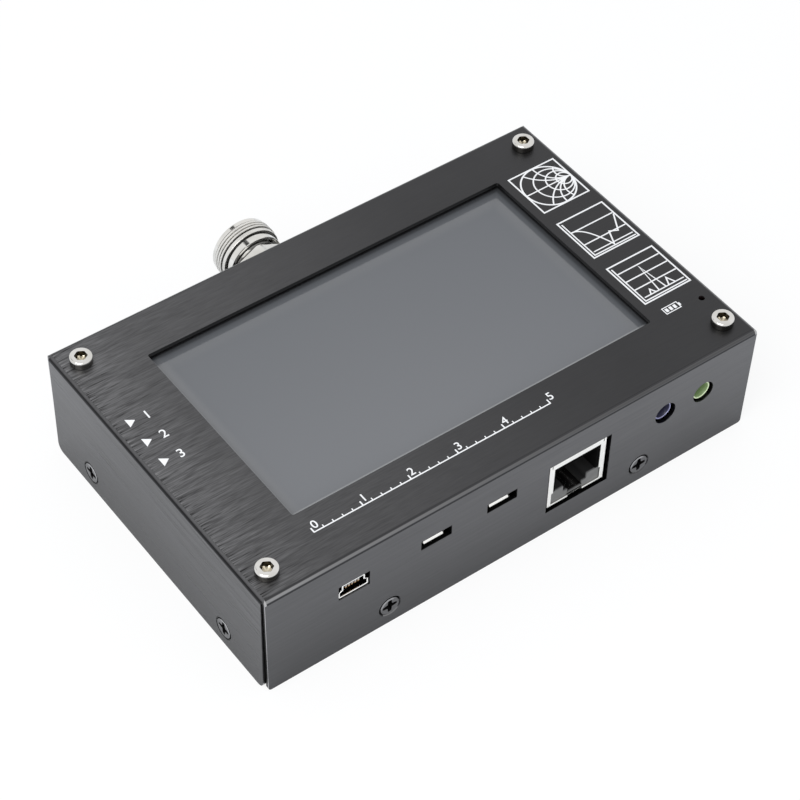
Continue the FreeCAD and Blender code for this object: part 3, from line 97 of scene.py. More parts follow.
# Countersunk screws in the walls
end_screw_x = 34.9
end_screw_z = 5.6
side_screw_y = 26.8
side_screw_z = 5.2
flat_head_r = 2.8
flat_edge_r = 2.44
flat_land_r = 2.0
flat_screw_len = 5.0
cross_half_len = 1.9
cross_tip_w = 0.44
cross_core_w = 0.62
cross_deep = 1.0
screw_zone_low = 2.0
screw_zone_high = 9.0

# Sockets under the main board
board_under = 21.35
mini_x = -44.4
mini_y = -42.4
mini_w = 7.8
mini_top_w = 6.0
mini_h = 3.95
mini_len = 9.0
mini_wide_h = 1.9
mini_step_h = 0.45
usb_wall = 0.3
tip_pitch = 0.8
tip_half_w = 0.22
line_in_x = 41.15
line_in_y = -41.75
line_out_x = 52.35
line_out_y = -42.0
micro_xs = (-22.9, -5.2)
micro_y = -41.3
micro_lip_half_w = 2.6
micro_lip_low = 18.8
jack_z = 18.9
jack_barrel_r = 2.45
jack_bore_r = 1.8
jack_mouth_r = 2.08
jack_body_w = 6.2
jack_body_h = 5.4
jack_body_y = -40.9
jack_body_len = 12.4
jack_bore_len = 12.25
network_x = 16.4
network_y = -42.2
network_w = 15.95
network_h = 13.45
network_len = 21.5
network_low = board_under - network_h
shield_wall = 0.3
mouth_half = 6.5
mouth_low = 4.1
mouth_high = 12.0
lower_half = 6.95
latch_half = 2.05
key_half = 3.35
pipe_half = 6.85
pipe_flange_front = 0.305
pipe_front = 0.345
pipe_end = 12.35
pipe_low = 1.3
pipe_step = 2.35
sill = 0.45
lip_front = 0.2
lip_back = 0.9
lip_low = 0.1
lip_high = 1.15
lip_t = 0.18
slit_in = 0.75
slit_half_w = 0.09
slit_len = 0.85
tab_out = 0.45
tab_rise = 1.4
tab_end = 3.8
tab_h = 4.5

# Antenna socket on the back wall
antenna_x = -5.2
antenna_z = 16.5
shank_r = 4.75
shank_in = 6.0
hex_af = 12.0
hex_len = 8.0
hex_corner_r = 6.6
neck_r = 5.8
ring_start = 9.1
ring_end = 10.9
ring_r = 7.15
relief_r = 6.7
relief_end = 11.2
collar_r = 7.72
thread_start = 12.6
thread_pitch = 0.86
thread_turns = 3
thread_end = thread_start + thread_turns * thread_pitch
thread_crest_r = 7.95
thread_root_r = 7.45
mouth_end = 16.4
mouth_land_r = 7.75
mouth_bore_r = 4.3
mouth_bore_len = 9.0
insulator_r = 3.5
contact_r = 1.5
contact_hole_r = 0.8
contact_tip = 11.4
contact_slot_len = 4.0
contact_fingers = 4
contact_slot_half = 0.15
contact_pin_r = 0.7
contact_pin_end = 8.4
contact_shoulder = 4.0

# Power switch on the back wall
switch_x = 5.3
switch_z = 15.2
bushing_r = 3.175
bushing_bore_r = 2.15
bushing_out = 4.2
switch_washer_r = 3.9
switch_washer_t = 0.5
switch_nut_af = 8.0
switch_nut_t = 2.0
pivot_out = 2.5
ball_r = 1.85
lever_len = 8.0
lever_root_r = 0.85
lever_tip_r = 1.15
lever_tail_r = 0.7
lever_tail_len = 2.6
lever_tilt = 12.5

# White print on the top face
print_t = 0.02
print_step = 0.0006
frame_line = 0.4
diagram_line = 0.35
diagram_x = 51.33
diagram_w = 13.85
diagram_h = 14.1
chart_y = 14.7
curve_y = -3.75
spectrum_y = -21.95
arrow_x = -63.4
arrow_len = 1.9
arrow_h = 2.6
arrow_ys = (14.83, 8.1, 1.32)
number_x = -59.4
number_h = 2.5
figure_share = 0.73
figure_spread = 0.02
scale_left = -47.9
scale_right = 14.9
scale_y = -33.1
scale_number_h = 2.2
scale_number_right = 0.45
scale_number_up = 0.75
scale_steps = 5
scale_parts = 5
scale_line = 0.3
tick_long = 1.3
tick_long_w = 0.32
tick_short = 0.7
tick_short_w = 0.24
cell_mark_x = 55.6
cell_mark_y = -26.1
cell_mark_w = 4.2
cell_mark_h = 1.9
cell_line = 0.24
cell_bars = 3
cell_bar_w = 0.75
cell_bar_pitch = 1.15


# Meshes

def circle(radius, height, count):
    """Points of a level ring about Z."""
    turns = [2 * math.pi * step / count for step in range(count)]
    return [Vector((radius * math.cos(a), radius * math.sin(a), height)) for a in turns]


def hexagon(across_flats, height, count, corner_r=99.0):
    """A level hexagon about Z as a ring of points, its corners cut back to a radius."""
    points = []
    for step in range(count):
        turn = 2 * math.pi * step / count
        from_flat = turn - round(turn * 3 / math.pi) * math.pi / 3
        radius = min(across_flats / 2 / math.cos(from_flat), corner_r)
        points.append(Vector((radius * math.cos(turn), radius * math.sin(turn), height)))
    return points


def around(outline, radius, height):
    """A level ring of points about Z, one beside each point of an outline."""
    return [(point.normalized() * radius).to_3d() + Vector((0, 0, height)) for point in outline]


def level(outline, height):
    """A flat outline lifted to a height."""
    return [point.to_3d() + Vector((0, 0, height)) for point in outline]


def cross_outline(half_len, tip_w, core_w, soft):
    """A cross with rounded arms that widen towards its middle."""
    corners = []
    for quarter in range(4):
        turn = Matrix.Rotation(math.pi / 2 * quarter, 2)
        for corner in ((half_len, -tip_w), (half_len, tip_w), (core_w, core_w)):
            corners.append(turn @ Vector(corner))
    return rounded_outline(corners, soft)


def arc(centre_r, centre_z, radius, start, end, steps):
    """(radius, height) points of a rounding, between two angles in degrees."""
    points = []
    for step in range(steps + 1):
        turn = math.radians(start + (end - start) * step / steps)
        points.append((centre_r + radius * math.cos(turn), centre_z + radius * math.sin(turn)))
    return points


def loft(bm, rings, ends="both"):
    """Skins rings of points; ends says which ends are closed, or that the last ring joins the first."""
    rows = [[bm.verts.new(point) for point in ring] for ring in rings]
    pairs = list(zip(rows, rows[1:]))
    if ends == "joined":
        pairs.append((rows[-1], rows[0]))
    for low, high in pairs:
        for step in range(len(low)):
            after = (step + 1) % len(low)
            bm.faces.new((low[step], low[after], high[after], high[step]))
    if ends in ("both", "first"):
        bm.faces.new(list(reversed(rows[0])))
    if ends in ("both", "last"):
        bm.faces.new(rows[-1])
    return rows


def turned(bm, profile, count=64, ends="both"):
    """Skins a profile of (radius, height) points turned about Z."""
    return loft(bm, [circle(radius, height, count) for radius, height in profile], ends)


def placed(bm, start, position, axis):
    """Moves the points made since a count: their Z along an axis, their origin at a position."""
    bm.verts.ensure_lookup_table()
    turn = UP.rotation_difference(Vector(axis)).to_matrix().to_4x4()
    moved = Matrix.Translation(Vector(position)) @ turn
    bmesh.ops.transform(bm, matrix=moved, verts=bm.verts[start:])


def finished(name, bm, sharp):
    """A mesh in metres with outward faces, smooth except at its sharp edges."""
    bmesh.ops.remove_doubles(bm, verts=bm.verts, dist=1e-5)
    bmesh.ops.recalc_face_normals(bm, faces=bm.faces)
    limit = math.radians(sharp)
    for face in bm.faces:
        face.smooth = True
    for edge in bm.edges:
        if len(edge.link_faces) == 2 and edge.calc_face_angle() > limit:
            edge.smooth = False
    bmesh.ops.scale(bm, vec=(MM, MM, MM), verts=bm.verts)
    mesh = bpy.data.meshes.new(name)
    bm.to_mesh(mesh)
    bm.free()
    return mesh


def piece(name, bm, finish, sharp=35.0, body="case", nodes=()):
    """Adds a piece of the analyzer that rides on a body and may stand for nodes."""
    mesh = finished(name, bm, sharp)
    mesh.materials.append(finish)
    item = bpy.data.objects.new(name, mesh)
    bpy.context.scene.collection.objects.link(item)
    if nodes:
        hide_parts(*nodes)
    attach(item, body)


# Finishes

def grey(shade):
    """A colour without a hue."""
    return (shade, shade, shade)


def distance(across, along):
    """How far a point lies from an axis, from its two offsets."""
    return (across * across + along * along) ** 0.5


class Value:
    """A shader socket in a sum: each operator adds the Math node that works it out."""

    def __init__(self, finish, socket):
        self.finish = finish
        self.socket = socket

    def math(self, operation, first, second=0.0):
        return self.finish.add("ShaderNodeMath", {"operation": operation}, {0: first, 1: second})

    def __add__(self, other):
        return self.math("ADD", self, other)

    __radd__ = __add__

    def __sub__(self, other):
        return self.math("SUBTRACT", self, other)

    def __rsub__(self, other):
        return self.math("SUBTRACT", other, self)

    def __mul__(self, other):
        return self.math("MULTIPLY", self, other)

    __rmul__ = __mul__

    def __pow__(self, other):
        return self.math("POWER", self, other)

    def __gt__(self, other):
        return self.math("GREATER_THAN", self, other)

    def __lt__(self, other):
        return self.math("LESS_THAN", self, other)

    def __abs__(self):
        return self.math("ABSOLUTE", self)

    def sign(self):
        return self.math("SIGN", self)

    def larger(self, other):
        return self.math("MAXIMUM", self, other)

    def smaller(self, other):
        return self.math("MINIMUM", self, other)

    def part(self, size):
        """What is left over after whole steps of a size."""
        return self.math("FLOORED_MODULO", self, size)

    def between(self, low, high):
        """0 below low, 1 above high and a smooth rise from one to the other."""
        inputs = {0: self, 1: low, 2: high, 3: 0.0, 4: 1.0}
        return self.finish.add("ShaderNodeMapRange", {"interpolation_type": "SMOOTHSTEP"}, inputs)


class Finish:
    """One surface finish; its place is the point on the object in millimetres."""

    def __init__(self, name, fixed):
        self.material = bpy.data.materials.new(name)
        self.material.use_nodes = True
        self.tree = self.material.node_tree
        self.tree.nodes.clear()
        self.shader = self.tree.nodes.new("ShaderNodeBsdfPrincipled")
        output = self.tree.nodes.new("ShaderNodeOutputMaterial")
        self.tree.links.new(self.shader.outputs[0], output.inputs["Surface"])
        self.output = output
        for socket, value in fixed.items():
            self.give(socket, value)
        point = self.add("ShaderNodeTexCoord", {}, {}, "Object")
        self.place = self.add("ShaderNodeVectorMath", {"operation": "SCALE"}, {0: point, "Scale": 1 / MM})

    def fill(self, socket, value):
        """Links a value to a socket, or sets the socket to a number or colour."""
        if isinstance(value, Value):
            self.tree.links.new(value.socket, socket)
        elif isinstance(value, tuple) and socket.type == "RGBA":
            socket.default_value = tuple(value) + (1.0,)
        else:
            socket.default_value = value

    def add(self, kind, settings, inputs, output=0):
        """Adds a node: its settings first, then its sockets, and gives one of its outputs."""
        node = self.tree.nodes.new(kind)
        for name, value in settings.items():
            setattr(node, name, value)
        for name, value in inputs.items():
            self.fill(node.inputs[name], value)
        return Value(self, node.outputs[output])

    def give(self, socket, value):
        """Sets one socket of the surface shader."""
        self.fill(self.shader.inputs[socket], value)

    def stretched(self, per_mm):
        """The place multiplied by a count per millimetre: one count, or one each for X, Y and Z."""
        counts = per_mm if isinstance(per_mm, tuple) else (per_mm, per_mm, per_mm)
        return self.add("ShaderNodeVectorMath", {"operation": "MULTIPLY"}, {0: self.place, 1: counts})

    def noise(self, per_mm, detail=2.0, roughness=0.5):
        """Soft noise, 0 to 1, with a number of lumps per millimetre."""
        inputs = {"Vector": self.stretched(per_mm), "Scale": 1.0, "Detail": detail, "Roughness": roughness}
        return self.add("ShaderNodeTexNoise", {}, inputs)

    def cells(self, per_mm):
        """How far a point is from the middle of its cell, with a number of cells per millimetre."""
        inputs = {"Vector": self.stretched(per_mm), "Scale": 1.0}
        return self.add("ShaderNodeTexVoronoi", {}, inputs, "Distance")

    def axes(self, vector):
        """The three parts of a vector."""
        return [self.add("ShaderNodeSeparateXYZ", {}, {0: vector}, index) for index in range(3)]

    def facing(self):
        """The three parts of the surface's own direction."""
        return self.axes(self.add("ShaderNodeNewGeometry", {}, {}, "Normal"))

    def mix(self, factor, first, second):
        """A colour between two colours."""
        settings = {"data_type": "RGBA", "clamp_factor": True}
        return self.add("ShaderNodeMix", settings, {0: factor, 6: first, 7: second}, 2)

    def surface(self, tone, roughness, height, strength, reach):
        """Sets colour, roughness and a grain whose height of 0 to 1 reaches some millimetres."""
        self.give("Base Color", tone)
        self.give("Roughness", roughness)
        inputs = {"Height": height, "Strength": strength, "Distance": reach * MM}
        self.give("Normal", self.add("ShaderNodeBump", {}, inputs))
        return self.material


def from_wall_screw(x, y, z):
    """How far a point lies sideways and upwards from the nearest wall screw."""
    on_end = abs(y) > half_d - 3.0
    off_x = x - x.sign() * end_screw_x
    off_y = y - y.sign() * side_screw_y
    off_z = z - (on_end * (end_screw_z - side_screw_z) + side_screw_z)
    return off_x * on_end + off_y * (1 - on_end), off_z


def anodised_sheet():
    """Black anodised aluminium, brushed along the case's length and smoother towards the right, with painted
    light and shade: a sheen towards the left, bands on the bends, shade in gaps and holes.
    """
    finish = Finish("black_anodised_sheet", {"Metallic": 0.92})
    x, y, z = finish.axes(finish.place)
    across, along, up = finish.facing()
    # Weight of the painted sheen, growing towards the left: it lightens the top and strengthens its streaks.
    left = (1 - x.between(-75.0, 40.0)) * 0.75 + (1 - x.between(-64.0, -48.0)) * 0.33
    left = left + (1 - x.between(-67.0, -64.0)) * 0.5
    flat_top = up > 0.97
    end_wall = abs(across) > 0.75
    broad = finish.noise((0.12, 1.5, 1.5), 2.0, 0.6)
    fine = finish.noise((0.26, 3.6, 3.6), 2.0, 0.6)
    top_streak = (broad * 0.4 + fine * 0.6 - 0.5) * (0.12 + left * left * 1.5)
    end_streak = (finish.noise((2.6, 0.03, 2.6), 4.0, 0.75) - 0.5) * 2.6
    long_streak = (finish.noise((0.05, 1.5, 1.5), 2.0, 0.6) - 0.5) * 0.22
    streak = top_streak * flat_top + end_streak * end_wall + long_streak * (1 - flat_top) * (1 - end_wall)
    cloud = finish.noise(0.06, 2.0) - 0.5
    # Painted sheen on the top, lighter towards the left.
    top_sheen_tone = finish.mix(left, (0.047, 0.047, 0.049), (0.115, 0.115, 0.119))
    # Painted shade on the walls, darker towards the bottom.
    wall_shaded_tone = finish.mix(z.between(-8.0, 27.0), (0.078, 0.078, 0.081), (0.126, 0.126, 0.131))
    tone = finish.mix(flat_top, wall_shaded_tone, top_sheen_tone)
    # Painted light: the top brighter towards the back and darker at the front left; the walls brighter
    # towards the right, the end walls towards the back and top.
    top_light = 1 + y.between(10.0, 40.0) * 0.10 - left * (1 - y.between(-42.0, -10.0)) * 0.12
    wall_light = 0.80 + x.between(-90.0, 70.0) * 0.2
    wall_light = wall_light + end_wall * (y.between(0.0, 45.0) * 0.12 + z.between(0.0, 25.0) * 0.09 - 0.205)
    light = wall_light + (top_light - wall_light) * flat_top
    # The brushing streaks and clouding, times the painted light.
    shade = (1 + streak * 1.9 + cloud * 0.12).larger(0.3) * light
    tone = finish.add("ShaderNodeVectorMath", {"operation": "SCALE"}, {0: tone, "Scale": shade})
    # Painted bands on the bends: dark on the short bends; on the long bends a light band between two dark
    # lines, and a glint at their ends.
    tilt = abs(up)
    bent = (tilt > 0.01) * (tilt < 0.999)
    short_way = bent * (abs(across) > abs(along))
    end_bend_shade = short_way * tilt.between(0.02, 0.12) * (1 - tilt.between(0.62, 0.84))
    long_way = abs(along) > abs(across)
    long_bend_highlight = long_way * tilt.between(0.40, 0.54) * (1 - tilt.between(0.76, 0.86))
    wall_side_bend_shade = long_way * tilt.between(0.02, 0.08) * (1 - tilt.between(0.30, 0.46))
    top_side_bend_shade = long_way * tilt.between(0.80, 0.88) * (1 - tilt.between(0.97, 0.998))
    corner = long_way * (abs(x) > half_w - 0.85) * (tilt > 0.1) * (tilt < 0.99)
    bend_highlight_tone = finish.mix(left, (0.080, 0.080, 0.082), (0.28, 0.28, 0.285))
    tone = finish.mix(end_bend_shade * 0.94, tone, (0.012, 0.012, 0.013))
    tone = finish.mix(long_bend_highlight * 0.9, tone, bend_highlight_tone)
    tone = finish.mix(wall_side_bend_shade * 0.85, tone, (0.022, 0.022, 0.024))
    tone = finish.mix(top_side_bend_shade * 0.7, tone, (0.022, 0.022, 0.024))
    tone = finish.mix(corner * 0.8, tone, grey(0.5))
    side_depth = half_w - abs(x)
    end_depth = half_d - abs(y)
    wall_depth = side_depth.smaller(end_depth)
    depth = wall_depth.smaller(plate_z - z).smaller(z)
    beside = (z > wall_zone_low) * (z < wall_zone_high)
    under_plate = (z < plate_z - 0.04) * (z > window_zone_low)
    in_window = (abs(x) < window_zone_x) * (abs(y) < window_zone_y) * under_plate
    # Painted shade: near black wherever the sheet lies a little in from the case's outer faces, as in gaps,
    # cut edges and holes.
    inside = depth.between(0.36, 0.5).larger(beside * wall_depth.between(0.16, 0.24))
    sideways, upwards = from_wall_screw(x, y, z)
    # Painted shadow on the upper side of each wall screw's countersink.
    shaded = (upwards - sideways * 0.8 > -0.8) * (z > screw_zone_low) * (z < screw_zone_high)
    countersink_shadow = shaded * (abs(across).larger(abs(along)) < 0.97)
    # Painted highlight along the cut ends of the front and back walls, beside the corner seams.
    cut_edge_glint = (side_depth > 0.3) * (side_depth < 0.9) * (abs(across) > 0.9) * (end_depth < 0.22)
    tone = finish.mix(inside * 0.93, tone, grey(0.005))
    tone = finish.mix(in_window, tone, (0.055, 0.055, 0.056))
    tone = finish.mix(countersink_shadow * 0.95, tone, grey(0.003))
    tone = finish.mix(cut_edge_glint * 0.9, tone, (0.55, 0.55, 0.56))
    return finish.surface(tone, 0.36 + streak * 0.3, streak + 0.5, 0.3, 0.02)


def screw_steel():
    """Bright turned steel, with painted shade on the walls of the hexagon sockets, a painted warm reflection
    at their bottoms and a painted dark reflection low on the heads' sides.
    """
    finish = Finish("screw_steel", {"Metallic": 1.0})
    x, y, z = finish.axes(finish.place)
    up = finish.facing()[2]
    off_x = abs(x) - cap_x
    off_y = abs(y) - cap_y
    near = off_x * off_x + off_y * off_y
    # Painted warm reflection over each socket, with painted shade on its walls.
    socket = (near < 2.1) * (z < plate_z + cap_head_h - 0.03) * (z > plate_z)
    wall = socket * (up < 0.6)
    # Painted dark reflection of the plate, with contact shade, on the lower side of each head.
    painted_side_shade = (near > 6.4) * (z > plate_z - 0.01) * (1 - z.between(plate_z + 1.25, plate_z + 1.65))
    lathe = finish.noise((2.0, 2.0, 6.0), 3.0, 0.6)
    tarnish = finish.noise(0.35, 3.0)
    tone = finish.mix(tarnish.between(0.35, 0.75), (0.70, 0.69, 0.67), (0.62, 0.61, 0.58))
    tone = finish.mix(socket, tone, (0.74, 0.67, 0.52))
    tone = finish.mix(wall, tone, (0.045, 0.038, 0.026))
    tone = finish.mix(painted_side_shade * 0.9, tone, (0.085, 0.08, 0.07))
    return finish.surface(tone, 0.14 + (lathe - 0.5) * 0.1 + socket * 0.2, lathe, 0.05, 0.02)


def blackened_steel():
    """Black oxide on the wall screws, dull, with painted shade down in their recesses and a painted glint on
    each head's upper edge.
    """
    finish = Finish("black_oxide_steel", {"Metallic": 0.95})
    x, y, z = finish.axes(finish.place)
    below = (abs(x) - half_w).larger(abs(y) - half_d)
    # Painted shade: near black wherever the screw lies more than a hair below the wall's face, in the cross
    # and round the head.
    shaded_recess = 1 - below.between(-0.12, -0.02)
    sideways, upwards = from_wall_screw(x, y, z)
    radius = distance(sideways, upwards)
    # Painted glint along the upper edge of each head's land.
    edge = radius.between(flat_land_r - 0.25, flat_land_r + 0.1)
    glint = edge * (upwards - sideways * 0.5).between(0.9, 1.9)
    grain = finish.noise(4.0, 3.0, 0.6)
    cloud = finish.noise(0.8, 2.0)
    tone = finish.mix(cloud, (0.10, 0.10, 0.103), (0.15, 0.15, 0.155))
    tone = finish.mix(glint, tone, (0.34, 0.34, 0.35))
    tone = finish.mix(shaded_recess, tone, grey(0.004))
    return finish.surface(tone, 0.3 + (grain - 0.5) * 0.1 + shaded_recess * 0.25, grain, 0.08, 0.02)


def socket_nickel():
    """Bright nickel of the antenna socket, with painted shade in the grooves between its threads, in its neck
    and in the relief behind its ring.
    """
    finish = Finish("socket_nickel", {"Metallic": 1.0})
    x, y, z = finish.axes(finish.place)
    radius = distance(x - antenna_x, z - antenna_z)
    threads = (y > half_d + thread_start - 0.42) * (y < half_d + thread_end + 0.01)
    neck = (y > half_d + hex_len - 0.05) * (y < half_d + ring_start + 0.03) * (radius < 6.5)
    relief = (y > half_d + ring_end) * (y < half_d + relief_end + 0.02) * (radius < collar_r - 0.12)
    # Painted shade in the thread grooves, the neck and the relief.
    shaded_groove = (threads * (1 - radius.between(collar_r - 0.12, collar_r - 0.03))).larger(neck * 0.75)
    shaded_groove = shaded_groove.larger(relief * 0.8)
    lathe = finish.noise((0.4, 4.0, 0.4), 2.0)
    tarnish = finish.noise(0.3, 3.0)
    tone = finish.mix(tarnish.between(0.35, 0.75), (0.74, 0.73, 0.705), (0.64, 0.63, 0.60))
    cut = (y > half_d + ring_end) * (y < half_d + thread_end + 0.01)
    tone = finish.mix(shaded_groove * 0.9, tone, (0.03, 0.03, 0.032))
    rough = 0.13 + (lathe - 0.5) * 0.06 + (tarnish - 0.5) * 0.06 + cut * 0.27
    return finish.surface(tone, rough, lathe, 0.03, 0.02)


def jack_plastic(name, x0, front, lit_rim_tone, shaded_bore_tone):
    """Coloured jack moulding with painted light and shade: a lit rim, a shaded bore that goes black further
    in, and a black outside.
    """
    finish = Finish(name, {"Specular IOR Level": 0.5})
    x, y, z = finish.axes(finish.place)
    radius = distance(x - x0, z - jack_z)
    # Painted light and shade: the rim lit, the bore shaded and black further in, the barrel's outside black.
    rim = 1 - y.between(front + 0.08, front + 0.16)
    deep = y.between(front + 2.5, front + 9.0)
    outside = (radius > jack_barrel_r - 0.2) * (1 - rim)
    pits = finish.noise(6.0, 3.0, 0.6)
    tone = finish.mix(rim, shaded_bore_tone, lit_rim_tone)
    tone = finish.mix(deep * 0.8, tone, grey(0.004))
    tone = finish.mix(outside * 0.93, tone, grey(0.006))
    return finish.surface(tone, 0.35 + (pits - 0.5) * 0.15 + outside * 0.3, pits, 0.1, 0.03)


def usb_nickel():
    """Bright drawn lips of the small sockets, with painted shade further in."""
    finish = Finish("usb_nickel", {"Metallic": 1.0})
    x, y, _ = finish.axes(finish.place)
    mini = x < mini_x + mini_w
    # Painted shade further into each socket.
    mini_shaded = y.between(mini_y + 0.18, mini_y + 0.32)
    micro_shaded = y.between(micro_y + 0.2, micro_y + 0.5)
    deep = mini * mini_shaded + (1 - mini) * micro_shaded
    marks = finish.noise(3.0, 3.0, 0.6)
    tone = finish.mix(marks, (0.95, 0.945, 0.93), (0.90, 0.895, 0.87))
    tone = finish.mix(deep * 0.96, tone, grey(0.02))
    return finish.surface(tone, 0.25 + (marks - 0.5) * 0.1, marks, 0.05, 0.02)


def contact_tips():
    """Spring contacts of a small socket: tinned at the top, gold below."""
    finish = Finish("contact_tips", {"Metallic": 0.35, "Specular IOR Level": 0.6})
    z = finish.axes(finish.place)[2]
    marks = finish.noise(5.0, 2.0)
    low = 1 - z.between(board_under - 1.8, board_under - 1.5)
    tone = finish.mix(low, (0.50, 0.49, 0.47), (0.42, 0.23, 0.07))
    tone = finish.mix(marks * 0.3, tone, grey(0.05))
    return finish.surface(tone, 0.3 + marks * 0.15, marks, 0.05, 0.02)


def light_pipe():
    """Grey light pipe, with painted shade further inside the socket."""
    finish = Finish("grey_light_pipe", {"Specular IOR Level": 0.2})
    y = finish.axes(finish.place)[1]
    flow = finish.noise((0.8, 0.2, 0.8), 2.0)
    tone = finish.mix(flow, (0.115, 0.115, 0.112), (0.19, 0.19, 0.186))
    # Painted shade further into the socket.
    deep = y.between(network_y + 0.42, network_y + 0.8)
    tone = finish.mix(deep, tone, grey(0.010))
    return finish.surface(tone, 0.3 + flow * 0.15 + deep * 0.45, flow, 0.1, 0.05)


def bare_metal(name, tone, worn_tone, roughness, grain=3.0):
    """A metal surface with fine tool marks and a little tarnish."""
    finish = Finish(name, {"Metallic": 1.0})
    marks = finish.noise(grain, 3.0, 0.6)
    tarnish = finish.noise(0.35, 3.0)
    tone = finish.mix(tarnish.between(0.35, 0.75), tone, worn_tone)
    rough = roughness + (marks - 0.5) * 0.12 + (tarnish - 0.5) * 0.08
    return finish.surface(tone, rough, marks, 0.08, 0.02)


def moulded(name, tone, dark_tone, roughness, coat=0.0, shine=0.5):
    """Moulded plastic with a fine spark-eroded grain."""
    finish = Finish(name, {"Specular IOR Level": shine, "Coat Roughness": 0.15})
    pits = finish.noise(6.0, 3.0, 0.6)
    cloud = finish.noise(0.4, 2.0)
    finish.give("Coat Weight", coat)
    tone = finish.mix(cloud, tone, dark_tone)
    return finish.surface(tone, roughness + (pits - 0.5) * 0.15, pits, 0.15, 0.03)


def display_film():
    """Satin hard-coated film of the touch panel over a grey display, with painted reflections: darker towards
    the back and right, shaded along its far edges and lit along its near ones.
    """
    fixed = {"Specular IOR Level": 0.1, "Coat Weight": 1.0, "Coat Roughness": 0.1, "Coat IOR": 1.68}
    finish = Finish("display_film", fixed)
    x, y, _ = finish.axes(finish.place)
    grain = finish.noise(9.0, 2.0)
    # Painted reflection: lighter towards the front and left, darker towards the back and right.
    back = y.between(-28.0, 30.0)
    tone = finish.mix(back, (0.122, 0.127, 0.138), (0.093, 0.099, 0.110))
    tone = finish.mix(x.between(-20.0, 60.0) * 0.3, tone, (0.055, 0.062, 0.078))
    # Painted light and shade along the far edges: an even band, darker nearer the edge.
    far = (window_half_w + gasket_back - x).smaller(window_half_d + gasket_back - (y - window_y))
    tone = finish.mix(far.between(3.0, 7.0), (0.112, 0.117, 0.126), tone)
    tone = finish.mix(far.between(1.2, 2.1), (0.062, 0.065, 0.070), tone)
    # Painted highlights along the near left and front edges.
    near_left = window_half_w + gasket_back + x
    near = (near_left + 0.8).smaller(window_half_d + gasket_back + y - window_y)
    clear = far.between(0.8, 2.0)
    tone = finish.mix((1 - near_left.between(2.6, 5.5)) * clear, tone, (0.150, 0.154, 0.162))
    tone = finish.mix((1 - near.between(2.9, 3.5)) * clear, tone, (0.26, 0.265, 0.27))
    # Near black right at the far edges, painted shade under the gasket.
    tone = finish.mix(far.between(0.4, 0.9), (0.016, 0.016, 0.017), tone)
    return finish.surface(tone, 0.42 + (grain - 0.5) * 0.08, grain, 0.06, 0.01)


def white_ink():
    """Screen-printed white ink, a little thin in places."""
    finish = Finish("white_ink", {"Specular IOR Level": 0.4})
    grain = finish.noise(5.0, 3.0, 0.6)
    thin = finish.noise(0.8, 2.0)
    tone = finish.mix(thin.between(0.55, 0.9), grey(0.86), (0.74, 0.74, 0.75))
    return finish.surface(tone, 0.5 + (grain - 0.5) * 0.2, grain, 0.1, 0.01)


def solder_mask():
    """Green solder mask with tracks and tinned pads."""
    finish = Finish("solder_mask", {"Specular IOR Level": 0.5})
    x, y, _ = finish.axes(finish.place)
    pads = finish.cells((0.55, 0.55, 0.0)) < 0.16
    row = (y.part(1.3) < 0.3) * (finish.noise((0.12, 0.5, 0.0), 0.0) > 0.52)
    column = (x.part(1.7) < 0.3) * (finish.noise((0.5, 0.12, 0.0), 0.0) > 0.55)
    track = row.larger(column)
    cloud = finish.noise(0.2, 3.0)
    tone = finish.mix(cloud, (0.010, 0.075, 0.035), (0.016, 0.105, 0.050))
    tone = finish.mix(track * 0.8, tone, (0.030, 0.170, 0.085))
    tone = finish.mix(pads, tone, (0.62, 0.61, 0.58))
    finish.give("Metallic", pads * 0.9)
    return finish.surface(tone, 0.32 + cloud * 0.1, track.larger(pads), 0.4, 0.03)


def chip_resin():
    """Black chip resin with a pale bevelled end, for the small parts on the boards."""
    finish = Finish("chip_resin", {"Specular IOR Level": 0.45})
    grain = finish.noise(8.0, 3.0, 0.7)
    ends = finish.noise((0.6, 0.35, 0.0), 0.0) > 0.62
    tone = finish.mix(grain, (0.018, 0.018, 0.019), (0.034, 0.034, 0.035))
    tone = finish.mix(ends, tone, (0.25, 0.20, 0.14))
    return finish.surface(tone, 0.5 + (grain - 0.5) * 0.2, grain, 0.2, 0.02)


def foam():
    """Closed-cell black foam tape."""
    finish = Finish("foam_tape", {"Specular IOR Level": 0.05})
    pores = finish.cells(3.5)
    tone = finish.mix(pores, (0.022, 0.022, 0.023), (0.038, 0.038, 0.039))
    return finish.surface(tone, 0.85 + pores * 0.1, pores, 0.6, 0.12)


def pouch_foil():
    """Silver pouch of the cell, with creases near its folded edges."""
    finish = Finish("pouch_foil", {"Metallic": 0.85})
    crease = finish.noise((0.09, 0.35, 0.35), 4.0, 0.6)
    fine = finish.noise(2.0, 2.0)
    tone = finish.mix(crease, (0.56, 0.57, 0.59), (0.68, 0.69, 0.70))
    return finish.surface(tone, 0.28 + crease * 0.2 + fine * 0.05, crease + fine * 0.1, 0.3, 0.4)


def lead_sleeves():
    """Soft red insulation of the leads."""
    finish = Finish("lead_sleeves", {"Specular IOR Level": 0.45})
    wobble = finish.noise(0.3, 2.0)
    pits = finish.noise(7.0, 2.0)
    tone = finish.mix(wobble, (0.42, 0.022, 0.016), (0.52, 0.035, 0.025))
    return finish.surface(tone, 0.42 + (pits - 0.5) * 0.15, pits, 0.12, 0.03)


def clear_acrylic(name, tone, dark_tone, roughness):
    """A moulded light guide or pipe, milky rather than clear."""
    finish = Finish(name, {"Specular IOR Level": 0.6, "Coat Roughness": 0.08, "Coat Weight": 0.4})
    flow = finish.noise((0.5, 0.1, 0.5), 2.0)
    tone = finish.mix(flow, tone, dark_tone)
    return finish.surface(tone, roughness + flow * 0.08, flow, 0.08, 0.05)
